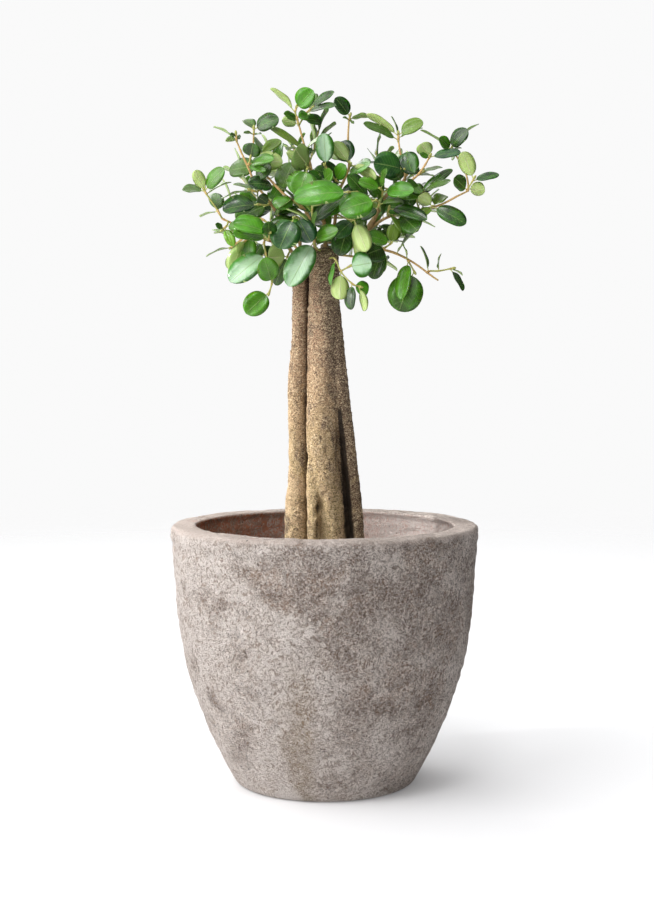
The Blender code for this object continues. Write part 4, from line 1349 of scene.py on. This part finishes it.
LIMBS = (
    Limb("limb_left_low", "stem_left", 0.97,
         ((-44, -6, 606), (-62, -14, 611), (-85, -18, 622), (-104, -20, 631), (-115, -22, 636)),
         (2.4, 1.0), "left_tip left_stub left_face left_hang left_under left_trunk", (-3, -4)),
    Limb("limb_left_long", "stem_left", 1.0,
         ((-30, 4, 616), (-42, 0, 628), (-51, -4, 638), (-64, -8, 657), (-75, -11, 670),
          (-85, -14, 692), (-92, -16, 706), (-98, -17, 720)),
         (2.2, 1.0), "left_dark left_arch left_bud left_bright", (-1, 3)),
    Limb("limb_left_mid", "stem_front", 0.99,
         ((-13, -6, 616), (-19, -10, 640), (-30, -14, 653), (-45, -14, 662), (-61, -10, 678),
          (-74, -4, 697), (-79, -2, 716), (-79, -2, 728)),
         (2.0, 1.0), "left_crown left_olive left_inner left_center", (-8, 0)),
    Limb("limb_top_left", "stem_front", 1.0,
         ((0, 0, 625), (-8, 3, 650), (-14, 4, 680), (-17, 4, 697), (-24, 4, 719), (-29, 4, 738)),
         (2.4, 1.0), "top_left top_pair top_mid top_round", (1, 4)),
    Limb("limb_top_center", "stem_back", 1.0,
         ((11, 22, 630), (13, 14, 660), (22, 10, 680), (27, 8, 692), (27, 8, 706), (26, 8, 722),
          (27, 8, 744)),
         (2.2, 1.0), "center_cross center_top center_side right_center", (-1, -4)),
    Limb("limb_right_main", "stem_back", 0.98,
         ((34, 18, 612), (52, 6, 627), (60, 2, 645), (69, 0, 662), (84, 0, 671), (90, 2, 681),
          (89, 4, 692), (84, 5, 708), (82, 5, 720)),
         (3.0, 1.0), "right_top right_round right_bright right_face center_large", (5, 0)),
    Limb("limb_right_mid", "limb_right_main", 0.60,
         ((96, -6, 677), (104, -9, 684), (110, -10, 692), (116, -10, 702)),
         (1.5, 1.0), "right_mid_tip right_mid_side"),
    Limb("limb_right_far", "limb_right_main", 0.30,
         ((72, 0, 638), (95, -2, 642), (119, -4, 648), (132, -6, 652), (150, -7, 661), (160, -7, 666)),
         (1.8, 1.0), "right_dark right_inner right_far_tip right_far_side"),
    Limb("limb_right_up", "limb_right_far", 1.0,
         ((160, -3, 675), (158, 2, 684), (150, 6, 700), (142, 7, 711)), (1.1, 0.9), "right_up_tip"),
    Limb("limb_right_low", "stem_front", 0.985,
         ((24, -3, 603), (50, -6, 603), (76, -8, 598), (90, -9, 592), (115, -10, 575), (127, -10, 567)),
         (2.0, 0.9), "right_under right_hang right_tail", (8, 2)),
)


class Tone(Enum):
    """How a leaf looks: how fresh, how olive and how blue its green is; a blue of 0.6 or more also gives it
    a painted sheen.
    """

    V = (0.50, 0.0, 0.0)
    B = (0.44, 0.08, 0.0)
    M = (0.22, 0.06, 0.0)
    D = (0.09, 0.0, 0.0)
    K = (0.02, 0.0, 0.03)
    U = (0.10, 0.0, 0.40)
    O = (0.30, 0.55, 0.0)
    P = (1.0, 0.50, 0.0)
    G = (0.16, 0.30, 0.20)
    S = (0.52, 0.0, 0.90)


# Tones of each sprig's leaves from left to right: V vivid, B bright, M middling, D dark,
# K darkest, U bluish, O olive, P palest, G greyish, S with a painted whitish sheen.
SHADES = {
    "left_tip": "GPGMBO", "left_stub": "DPB", "left_face": "BVOD", "left_dark": "DMK", "left_arch": "DGG",
    "left_bud": "GGDD", "left_bright": "DBBP", "left_crown": "GGGD", "left_olive": "MDO",
    "left_inner": "BDG", "left_center": "DUU", "left_hang": "SBDBK", "left_under": "OPB",
    "left_trunk": "OK", "top_left": "POMBV", "top_pair": "GKDD", "top_mid": "OGDO", "top_round": "OPBD",
    "center_cross": "DSV", "center_top": "KGGK", "center_side": "OKPD", "center_large": "VKD",
    "right_top": "GPGPO", "right_round": "UOO", "right_bright": "BPMV", "right_face": "VKG",
    "right_dark": "OKD", "right_center": "UDPP", "right_under": "KBDOO", "right_hang": "MBP",
    "right_tail": "GGGK", "right_mid_tip": "BBU", "right_mid_side": "KGG", "right_inner": "DKGD",
    "right_up_tip": "GMOGKG", "right_far_tip": "DPPK", "right_far_side": "OPOD",
    "front_shoot": "OSBPGPB", "front_hang": "VPDPVS",
}
OTHERS = "MDDKBOMDGV"


@dataclass
class Leaves:
    """The leaves of one sprig, as arrays with a row for each leaf."""

    base: np.ndarray
    tip: np.ndarray
    across: np.ndarray
    face: np.ndarray
    length: np.ndarray
    width: np.ndarray
    stalk: np.ndarray


@dataclass
class LeafReader:
    """Finds the leaves in a CAD sprig.

    A CAD leaf ends in one point joined to exactly three others: the two edges and the keel of
    its last ring, which lies at a known share of the blade. The frame of the leaf follows
    from these four points.
    """

    last_ring: float = 0.76
    thickness: float = 0.0010
    arch: float = 0.05
    stalk_share: float = 0.15
    stalk_limit: float = 0.006
    width_power: float = 0.62
    skew: float = 1.12
    near: float = 4e-5

    def half_width(self, share: np.ndarray) -> np.ndarray:
        """Half width of a leaf at a share of its blade, 1 at the widest place."""
        return np.clip(np.sin(np.pi * np.asarray(share) ** self.skew), 0.0, 1.0) ** self.width_power

    def corners(self, mesh: bpy.types.Mesh) -> tuple[np.ndarray, np.ndarray]:
        """Points of a mesh that have exactly three neighbours.

        Args:
            mesh: A CAD node's mesh of loose triangles.

        Returns:
            Each such point, and its three neighbours.
        """
        mesh.calc_loop_triangles()
        faces = np.empty(len(mesh.loop_triangles) * 3, np.int32)
        mesh.loop_triangles.foreach_get("vertices", faces)
        places, index = np.unique(np.round(vertex_values(mesh), 6), axis=0, return_inverse=True)
        faces = index.reshape(-1)[faces].reshape(-1, 3)
        ends = np.concatenate([faces[:, [0, 1]], faces[:, [1, 2]], faces[:, [2, 0]]])
        ends = np.unique(np.concatenate([ends, ends[:, ::-1]]), axis=0)
        ends = ends[ends[:, 0] != ends[:, 1]]
        count = np.bincount(ends[:, 0], minlength=len(places))
        first = np.searchsorted(ends[:, 0], np.flatnonzero(count == 3))
        return places[count == 3], places[ends[first[:, None] + np.arange(3), 1]]

    def read(self, mesh: bpy.types.Mesh) -> Leaves:
        """The leaves of a CAD sprig, from the four last points of each.

        Args:
            mesh: A CAD sprig's mesh.

        Returns:
            The leaves that were found.
        """
        tips, rings = self.corners(mesh)
        order = np.array([[0, 1, 2], [1, 2, 0], [2, 0, 1]])
        edge_a, edge_b, keel = (rings[:, order[:, i]] for i in range(3))
        middle = 0.5 * (edge_a + edge_b)
        drop = np.linalg.norm(keel - middle, axis=-1)
        best = np.argmin(drop, axis=1)
        pick = np.arange(len(tips)), best
        middle, keel, drop = middle[pick], keel[pick], drop[pick]
        span = edge_b[pick] - edge_a[pick]
        face = unit(middle - keel)
        across = unit(span)
        along = np.cross(face, across)
        flip = np.where(np.sum((tips - middle) * along, axis=1) < 0.0, -1.0, 1.0)[:, None]
        along, across = along * flip, across * flip
        blade = np.sum((tips - middle) * along, axis=1) / (1.0 - self.last_ring)
        length = np.minimum(blade / (1.0 - self.stalk_share), blade + self.stalk_limit)
        stalk = length - blade
        reach = stalk + self.last_ring * blade
        lift = self.arch * length * np.sin(np.pi * reach / np.maximum(length, 1e-9))
        true = np.abs(drop - self.thickness) < self.near
        true &= np.abs(np.sum((tips - middle) * across, axis=1)) < self.near
        true &= np.abs(np.sum((middle - tips) * face, axis=1) - lift) < self.near
        width = np.linalg.norm(span, axis=1) / self.half_width(np.array(self.last_ring))
        base = tips - along * length[:, None]
        return Leaves(*(part[true] for part in (base, tips, across, face, length, width, stalk)))


@dataclass
class Foliage:
    """Makes fine leaves: one closed skin each, stalk and blade, eight points round."""

    reader: LeafReader = field(default_factory=LeafReader)
    stations: int = 16
    stalk_radius: float = 0.0006
    thickness: float = 0.00045
    grow: float = 1.10
    blunt: float = 2.25

    def outline(self, share: np.ndarray) -> np.ndarray:
        """Half width of a fine leaf along its blade: an oval a little blunter than an ellipse."""
        off = np.abs(2.0 * share**1.04 - 1.0)
        return np.sqrt(np.clip(1.0 - off**self.blunt, 0.0, 1.0))

    def build(self, name: str, leaves: Leaves, tones: np.ndarray,
              finish: bpy.types.Material) -> bpy.types.Object:
        """All leaves of a sprig as one piece.

        Point (u, v) of a blade is foot + along * (stalk + u * blade) + across * v * half(u)
        + face * lift. The lift is the CAD leaf's arch, plus a fold that raises the edges by
        v^2, plus a wave along the margin. The underside is the same surface, lower by the
        leaf's thickness, which runs out at the edge.

        Args:
            name: Name of the sprig, whose CAD node the piece stands for.
            leaves: Its leaves.
            tones: Fresh, olive and blue of each leaf.
            finish: The leaf material.

        Returns:
            The piece.
        """
        count = len(leaves.length)
        random = np.random.default_rng(sum(map(ord, name)))
        along = np.cross(leaves.face, leaves.across)
        share = 0.5 - 0.5 * np.cos(np.pi * np.linspace(0.045, 0.965, self.stations))
        v = np.array([-1.0, -0.52, 0.0, 0.52, 1.0, 0.52, 0.0, -0.52])
        under = np.array([0, 0, 0, 0, 0, 1, 1, 1])
        fold = random.uniform(0.02, 0.30, (count, 1, 1))
        wave = random.uniform(0.2, 0.7, (count, 1, 1)) * MM
        phase = random.uniform(0.0, TAU, (count, 1, 1))
        curl = random.uniform(-0.06, 0.03, (count, 1, 1))
        length = leaves.length[:, None, None]
        blade = length - leaves.stalk[:, None, None]
        u = share[None, :, None]
        half = 0.5 * self.grow * leaves.width[:, None, None] * self.outline(u)
        skew = random.uniform(-0.05, 0.05, (count, 1, 1))
        reach = leaves.stalk[:, None, None] + (u + skew * v * u * (1.0 - u)) * blade
        lift = self.reader.arch * length * np.sin(np.pi * np.clip(reach / length, 0.0, 1.0))
        lift = lift + fold * np.abs(v) ** 1.6 * half + curl * blade * u**3
        lift = lift + wave * np.abs(v) ** 3 * np.sin(TAU * 1.6 * u + phase + 1.3 * (v > 0))
        rib = 0.0009 * np.exp(-(v / 0.2) ** 2) * (1.0 - 0.6 * u)
        lift = lift - 0.35 * rib - under * (self.thickness * np.sqrt(1.0 - 0.9 * v**2) + 0.5 * rib)
        blades = (leaves.base[:, None, None] + along[:, None, None] * reach[..., None]
                  + leaves.across[:, None, None] * (v * half)[..., None]
                  + leaves.face[:, None, None] * lift[..., None])
        stalks, ends = self.stalks(leaves, along)
        rings = np.concatenate([stalks, blades], axis=1)
        tip_lift = curl[:, 0] * blade[:, 0]
        tips = leaves.base + along * (leaves.length * 1.004)[:, None] + leaves.face * tip_lift
        poles = np.stack([leaves.base - along * 0.0004, tips], axis=1)
        marks = np.zeros((*rings.shape[:2], LEAF_ROUND, 3))
        marks[..., 0] = np.concatenate([ends, share])[None, :, None]
        marks[..., 1] = np.where(np.arange(rings.shape[1]) < len(ends), 0.0, 1.0)[None, :, None] * v
        surface = Surface()
        surface.add_rings(rings, poles, marks)
        mesh = surface.mesh(f"{name}_leaves")
        self.mark(mesh, count, rings.shape[1], tones)
        nodes = (name,) if name in frame["nodes"] else ()
        return piece(f"{name}_leaves", mesh, finish, nodes)

    def stalks(self, leaves: Leaves, along: np.ndarray) -> tuple[np.ndarray, np.ndarray]:
        """Rings of the leaf stalks, from the twig's middle to the foot of the blade.

        Args:
            leaves: The leaves.
            along: Unit vector along each leaf.

        Returns:
            The rings, and their u: negative on the stalk.
        """
        angles = TAU * (np.arange(LEAF_ROUND) / LEAF_ROUND + 0.5)
        share = np.array([0.0, 0.55, 0.95])
        radius = self.stalk_radius * np.array([1.3, 0.9, 1.15])
        reach = share[None] * leaves.stalk[:, None]
        lift = self.reader.arch * leaves.length[:, None] * np.sin(np.pi * reach / leaves.length[:, None])
        middle = (leaves.base[:, None] + along[:, None] * reach[..., None]
                  + leaves.face[:, None] * (lift - 0.0003)[..., None])
        ring = (np.cos(angles)[None, :, None] * leaves.across[:, None]
                + np.sin(angles + np.pi)[None, :, None] * -leaves.face[:, None])
        rings = middle[:, :, None] + radius[None, :, None, None] * ring[:, None]
        return rings, share * 0.2 - 0.22

    @staticmethod
    def mark(mesh: bpy.types.Mesh, count: int, rows: int, tones: np.ndarray) -> None:
        """Writes the attributes that the leaf material reads.

        Args:
            mesh: The mesh of all leaves, as add_rings lays it out.
            count: How many leaves.
            rows: Rings in each leaf.
            tones: Fresh, olive and blue of each leaf.
        """
        mesh.attributes["mark"].name = "leaf"
        tone = mesh.attributes.new("tone", "FLOAT_VECTOR", "POINT")
        each = np.repeat(tones, rows * LEAF_ROUND + 2, axis=0)
        tone.data.foreach_set("vector", each.astype(np.float32).ravel())
        side = mesh.attributes.new("side", "FLOAT", "FACE")
        upper = np.arange(LEAF_ROUND) < LEAF_ROUND // 2
        quads = np.tile(upper, (rows - 1) * count)
        fans = np.tile(upper, 2 * count)
        side.data.foreach_set("value", np.concatenate([quads, fans]).astype(np.float32))


@dataclass
class TwigMaker:
    """Grows each sprig's twig through the feet of its leaves, and sweeps limbs."""

    around: int = 8
    spacing: float = 0.003
    thin: float = 0.00085
    swell: float = 0.0005

    def skeleton(self, start: np.ndarray, feet: np.ndarray) -> list[list[int]]:
        """Joins leaf feet into branches: each foot grows from the nearest wood so far.

        Args:
            start: Where the twig leaves its parent.
            feet: The leaves' feet.

        Returns:
            Chains of indices into [start, *feet].
        """
        places = np.concatenate([start[None], feet])
        parent = {0: -1}
        left = set(range(1, len(places)))
        while left:
            grown = np.array(sorted(parent))
            waiting = np.array(sorted(left))
            gaps = np.linalg.norm(places[waiting][:, None] - places[grown][None], axis=-1)
            w, g = np.unravel_index(np.argmin(gaps), gaps.shape)
            parent[int(waiting[w])] = int(grown[g])
            left.remove(int(waiting[w]))
        children: dict[int, list[int]] = {i: [] for i in parent}
        for child, above in parent.items():
            if above >= 0:
                children[above].append(child)
        chains: list[list[int]] = []
        open_ends = [[0, child] for child in children[0]]
        while open_ends:
            chain = open_ends.pop()
            while children[chain[-1]]:
                heading = unit(places[chain[-1]] - places[chain[-2]])
                onward = sorted(children[chain[-1]],
                                key=lambda i: -float(unit(places[i] - places[chain[-1]]) @ heading))
                open_ends += [[chain[-1], other] for other in onward[1:]]
                chain.append(onward[0])
            chains.append(chain)
        return chains

    def build(self, name: str, start: np.ndarray, thick: float, leaves: Leaves,
              finish: bpy.types.Material) -> bpy.types.Object:
        """A sprig's twig: rods through the leaf feet, a node at each foot and a bud at each end.

        Args:
            name: The sprig's name.
            start: Where it leaves its parent.
            thick: Radius there.
            leaves: The sprig's leaves.
            finish: The twig material.

        Returns:
            The piece.
        """
        places = np.concatenate([start[None], leaves.base])
        reach = np.linalg.norm(places - start, axis=1)
        span = max(float(reach.max()), 1e-6)
        surface = Surface()
        for chain in self.skeleton(start, leaves.base):
            knots = places[chain]
            keep = np.concatenate(([True], np.linalg.norm(np.diff(knots, axis=0), axis=1) > 0.0008))
            knots = knots[keep]
            if len(knots) < 2:
                knots = np.stack([places[chain[0]], places[chain[0]] + np.array([0.0, 0.0, 0.002])])
            sizes = self.thin + (thick - self.thin) * (1.0 - np.linalg.norm(knots - start, axis=1) / span)
            path, radii = smooth_path(knots, sizes, self.spacing)
            gaps = np.linalg.norm(path[:, None] - leaves.base[None], axis=-1).min(axis=1)
            radii = radii + self.swell * np.exp(-((gaps / 0.0016) ** 2))
            age = np.clip((radii - 0.0008) / 0.0010, 0.0, 2.5)
            self.sweep(surface, path, radii, age)
            self.bud(surface, path, radii[-1])
        return piece(f"{name}_twig", surface.mesh(f"{name}_twig"), finish)

    def sweep(self, surface: Surface, path: np.ndarray, radii: np.ndarray, age: np.ndarray) -> None:
        """Adds a rod, with its age as its mark.

        Args:
            surface: What the rod is added to.
            path: Its middle.
            radii: Radius at each point.
            age: Age at each point.
        """
        rings, poles = tube(path, radii, self.around)
        marks = np.zeros((1, len(path), self.around, 3))
        marks[..., 0] = age[None, :, None]
        surface.add_rings(rings[None], poles[None], marks)

    def bud(self, surface: Surface, path: np.ndarray, radius: float) -> None:
        """Adds the pointed bud at a twig's end: a spindle 6.5 mm long, widest near its foot.

        Args:
            surface: What the bud is added to.
            path: The twig's middle.
            radius: The twig's radius at its end.
        """
        heading = unit(path[-1] - path[-2])
        share = np.linspace(0.0, 1.0, 7)[:-1]
        shape = np.sin(np.pi * (0.18 + 0.82 * share)) ** 0.8
        line = path[-1] + heading * (share[:, None] * 0.0065 - 0.0004)
        self.sweep(surface, line, np.maximum(1.15 * radius * shape, 0.0001), np.full(6, 0.15))


@dataclass
class Crown:
    """Limbs, twigs and leaves."""

    twigs: TwigMaker = field(default_factory=TwigMaker)
    foliage: Foliage = field(default_factory=Foliage)
    wood: dict[str, np.ndarray] = field(default_factory=dict)
    heart_gap: float = 0.0095
    heart_half: float = 0.108
    heart_low: float = 0.612
    heart_high: float = 0.712
    heart_front: float = -0.035
    heart_back: float = 0.075
    neck_half: float = 0.030
    neck_high: float = 0.645
    neck_back: float = 0.015
    sprays: tuple[tuple[str, str], ...] = (
        ("spray_back_left", "stem_left"), ("spray_back_high", "stem_back"),
        ("spray_back_center", "stem_back"), ("spray_back_right", "limb_right_main"),
        ("spray_back_low", "stem_back"))

    def build_limbs(self, finish: bpy.types.Material) -> None:
        """Sweeps every limb along a smooth curve through its route.

        Args:
            finish: The twig material.
        """
        for stem in STEMS:
            rows = np.array(stem.legs[0], float)[:, :3] * MM
            self.wood[stem.name] = smooth_path(rows, rows[:, 2], 0.004)[0]
        for limb in LIMBS:
            parent = self.wood[limb.parent]
            along = lengths_along(parent)
            start = np.array([np.interp(limb.at * along[-1], along, parent[:, axis]) for axis in range(3)])
            start = start + np.array([*limb.aside, 0.0]) * MM
            knots = np.concatenate([start[None], sighted(np.array(limb.route))])
            sizes = np.linspace(limb.radii[0], limb.radii[1], len(knots)) * MM
            path, radii = smooth_path(knots, sizes, 0.0025)
            self.wood[limb.name] = path
            bend = np.stack([value_noise(path, 0.018, seed) for seed in (1, 2, 3)], axis=-1)
            path = path + 0.0007 * bend * smooth_step(np.arange(len(path)), 2, 8)[:, None]
            knobs = smooth_step(np.abs(np.sin(np.pi * lengths_along(path) / 0.017)), 0.12, 0.0)
            radii = radii * (1.0 + 0.10 * fractal(path, 0.006, 2, 9)) + 0.00035 * knobs
            surface = Surface()
            age = np.clip((radii - 0.0006) / 0.0007, 0.6, 2.5)
            self.twigs.sweep(surface, path, radii, age)
            piece(f"{limb.name}_wood", surface.mesh(f"{limb.name}_wood"), finish, (limb.name,))

    def build(self) -> None:
        """Builds limbs, then every sprig on its limb, then the sprays at the back."""
        wood_finish = TwigFinish().material()
        leaf_finish = LeafFinish().material()
        self.build_limbs(wood_finish)
        carried = [(f"sprig_{sprig}", limb.name) for limb in LIMBS for sprig in limb.carries.split()]
        carried += [("sprig_front_shoot", "stem_front"), ("sprig_front_hang", "stem_front"), *self.sprays]
        total = 0
        for name, parent in carried:
            leaves = self.foliage.reader.read(frame["nodes"][name].data)
            total += len(leaves.length)
            wood = self.wood[parent]
            gaps = np.linalg.norm(leaves.base[:, None] - wood, axis=-1).min(axis=1)
            nearest = leaves.base[np.argmin(gaps)]
            start = wood[np.argmin(np.linalg.norm(wood - nearest, axis=1))]
            thick = 0.0016 if name.startswith("spray") else 0.0011
            tones = self.tones(name, leaves)
            self.foliage.build(name, leaves, tones, leaf_finish)
            self.twigs.build(name, start, thick, leaves, wood_finish)
        for limb in LIMBS:
            leaves = self.heart(limb)
            if len(leaves.length):
                name = f"heart_{limb.name}"
                total += len(leaves.length)
                self.foliage.build(name, leaves, self.tones(name, leaves), leaf_finish)
        LOG.info("crown: %d leaves on %d sprigs", total, len(carried))

    def heart(self, limb: Limb) -> Leaves:
        """Leaves that fill the heart of the crown, along a limb, a golden angle apart.

        Each leaf leaves the limb sideways and a little up, and its upper face turns towards
        the light at the front left. Leaves whose tips would leave the heart, or would hide
        the neck above the stems, are left out.

        Args:
            limb: The limb that carries them.

        Returns:
            The leaves.
        """
        random = np.random.default_rng(sum(map(ord, limb.name)))
        path = self.wood[limb.name]
        along = lengths_along(path)
        at = np.arange(0.012, along[-1] - 0.004, self.heart_gap)
        base = np.stack([np.interp(at, along, path[:, axis]) for axis in range(3)], axis=-1)
        slopes = np.gradient(path, axis=0)
        trend = unit(np.stack([np.interp(at, along, slopes[:, axis]) for axis in range(3)], axis=-1))
        turn = GOLDEN_ANGLE * np.arange(len(at)) + random.uniform(0.0, TAU)
        side = unit(np.cross(trend, [0.0, 1.0, 0.2]))
        radial = np.cos(turn)[:, None] * side + np.sin(turn)[:, None] * np.cross(side, trend)
        heading = unit(radial + 0.35 * trend + np.array([0.0, 0.25, 0.10]))
        light = np.array([-0.35, -0.75, 0.65]) + random.uniform(-0.35, 0.35, (len(at), 3))
        across = unit(np.cross(heading, light))
        face = np.cross(across, heading)
        length = random.uniform(0.026, 0.042, len(at))
        tip = base + heading * length[:, None]
        x, z = across_sight(tip) * MM, tip[:, 2]
        keep = (np.abs(x) < self.heart_half) & (z > self.heart_low) & (z < self.heart_high)
        keep &= (tip[:, 1] > self.heart_front) & (tip[:, 1] < self.heart_back)
        keep &= ~((np.abs(x) < self.neck_half) & (z < self.neck_high) & (tip[:, 1] < self.neck_back))
        rows = (base, tip, across, face, length, 0.66 * length, np.full(len(at), 0.005))
        return Leaves(*(row[keep] for row in rows))

    def tones(self, name: str, leaves: Leaves) -> np.ndarray:
        """Fresh, olive and blue of each leaf: its named tone, a little varied.

        Args:
            name: The sprig's name.
            leaves: Its leaves.

        Returns:
            Three numbers for each leaf.
        """
        random = np.random.default_rng(len(name) * 31 + sum(map(ord, name)))
        count = len(leaves.length)
        rank = np.argsort(np.argsort(across_sight(leaves.tip)))
        letters = SHADES.get(name.replace("sprig_", ""), "").ljust(count, " ")
        chosen = [letters[place] if letters[place] != " " else OTHERS[random.integers(len(OTHERS))]
                  for place in rank]
        tones = np.array([Tone[letter].value for letter in chosen])
        tones[:, 0] += random.uniform(-0.05, 0.07, count)
        tones[:, 1] += random.uniform(0.0, 0.10, count)
        return np.clip(tones, 0.0, 1.0)


# ---------------------------------------------------------------- studio


@dataclass
class Studio:
    """Camera, floor, soft lights and white surroundings."""

    lens: float = 66.19
    tilt: float = 0.06755
    floor_size: float = 9.0
    white: float = 0.955

    def build(self) -> None:
        """Builds the whole studio."""
        self.camera()
        self.floor()
        self.surroundings()
        self.softbox("key", (-1.75, -1.15, 1.75), (0.0, 0.0, 0.35), 1.8, 31.0)
        self.softbox("sheen", (-0.12, -1.12, 2.25), (0.0, 0.0, 0.6), 0.45, 8.0)
        self.softbox("back_light", (-0.7, 1.5, 1.9), (0.0, 0.0, 0.6), 1.2, 12.0)
        self.snoot("snoot", (-1.45, -0.25, 1.30), (0.045, 0.02, 0.30), 0.20, 150.0)
        bpy.context.scene.view_settings.view_transform = "Standard"

    def camera(self) -> None:
        """Sets up the camera: level with the trunk, looking slightly down along +Y."""
        lens = bpy.data.cameras.new("camera")
        lens.lens = self.lens
        lens.sensor_width = 36.0
        made = bpy.data.objects.new("camera", lens)
        made.location = STATION
        made.rotation_euler = (0.5 * np.pi - self.tilt, 0.0, 0.0)
        into_scene(made)
        bpy.context.scene.camera = made

    def floor(self) -> None:
        """A plain floor under the pot."""
        side = self.floor_size
        corners = [(-side, -side, 0.0), (side, -side, 0.0), (side, side, 0.0), (-side, side, 0.0)]
        mesh = bpy.data.meshes.new("floor")
        mesh.from_pydata(corners, [], [(0, 1, 2, 3)])
        mesh.materials.append(StudioFinish().material())
        made = bpy.data.objects.new("floor", mesh)
        made.location.z = -0.0002
        into_scene(made)

    def surroundings(self) -> None:
        """A world that is brighter to the left, and plain white where the camera sees it."""
        world = bpy.data.worlds.new("studio")
        bpy.context.scene.world = world
        world.use_nodes = True
        nodes, links = world.node_tree.nodes, world.node_tree.links
        lit = nodes["Background"]
        lit.inputs["Color"].default_value = (1.0, 1.0, 1.0, 1.0)
        seen = nodes.new("ShaderNodeBackground")
        seen.inputs["Color"].default_value = (self.white, self.white, self.white, 1.0)
        way = nodes.new("ShaderNodeTexCoord")
        dot = nodes.new("ShaderNodeVectorMath")
        dot.operation = "DOT_PRODUCT"
        dot.inputs[1].default_value = (-0.85, 0.0, 0.52)
        span = nodes.new("ShaderNodeMapRange")
        for socket, value in zip(span.inputs[1:5], (-0.25, 1.0, 0.08, 1.82)):
            socket.default_value = value
        path = nodes.new("ShaderNodeLightPath")
        both = nodes.new("ShaderNodeMixShader")
        links.new(way.outputs["Generated"], dot.inputs[0])
        links.new(dot.outputs["Value"], span.inputs[0])
        links.new(span.outputs[0], lit.inputs["Strength"])
        links.new(path.outputs["Is Camera Ray"], both.inputs[0])
        links.new(lit.outputs[0], both.inputs[1])
        links.new(seen.outputs[0], both.inputs[2])
        links.new(both.outputs[0], nodes["World Output"].inputs["Surface"])

    @staticmethod
    def hang(lamp: bpy.types.Light, place: Place, target: Place) -> None:
        """Puts a light where it stands and points it at its target.

        Args:
            lamp: The light.
            place: Where it stands.
            target: What it points at.
        """
        made = bpy.data.objects.new(lamp.name, lamp)
        made.location = place
        away = made.location - type(made.location)(target)
        made.rotation_euler = away.to_track_quat("Z", "Y").to_euler()
        into_scene(made)

    def softbox(self, name: str, place: Place, target: Place, size: float, power: float) -> None:
        """A square area light.

        Args:
            name: The light's name.
            place: Where it stands.
            target: What it points at.
            size: Its side.
            power: Its power in watts.
        """
        lamp = bpy.data.lights.new(name, "AREA")
        lamp.size = size
        lamp.energy = power
        self.hang(lamp, place, target)

    def snoot(self, name: str, place: Place, target: Place, angle: float, power: float) -> None:
        """A narrow soft beam.

        Args:
            name: The light's name.
            place: Where it stands.
            target: What it points at.
            angle: Width of the beam in radians.
            power: Its power in watts.
        """
        lamp = bpy.data.lights.new(name, "SPOT")
        lamp.spot_size = angle
        lamp.spot_blend = 0.9
        lamp.shadow_soft_size = 0.12
        lamp.energy = power
        self.hang(lamp, place, target)


def main() -> None:
    """Builds every sub-assembly in order and reports it."""
    logging.basicConfig(level=logging.INFO, format="%(name)s: %(message)s")
    Studio().build()
    Pot().build()
    soil = Soil()
    soil.build()
    Trunk().build()
    feet = [tuple(np.array(leg[1])[[0, 1, 3]] * MM) for stem in STEMS for leg in stem.legs]
    soil.scatter(feet)
    Crown().build()


if __name__ == "__main__":
    main()
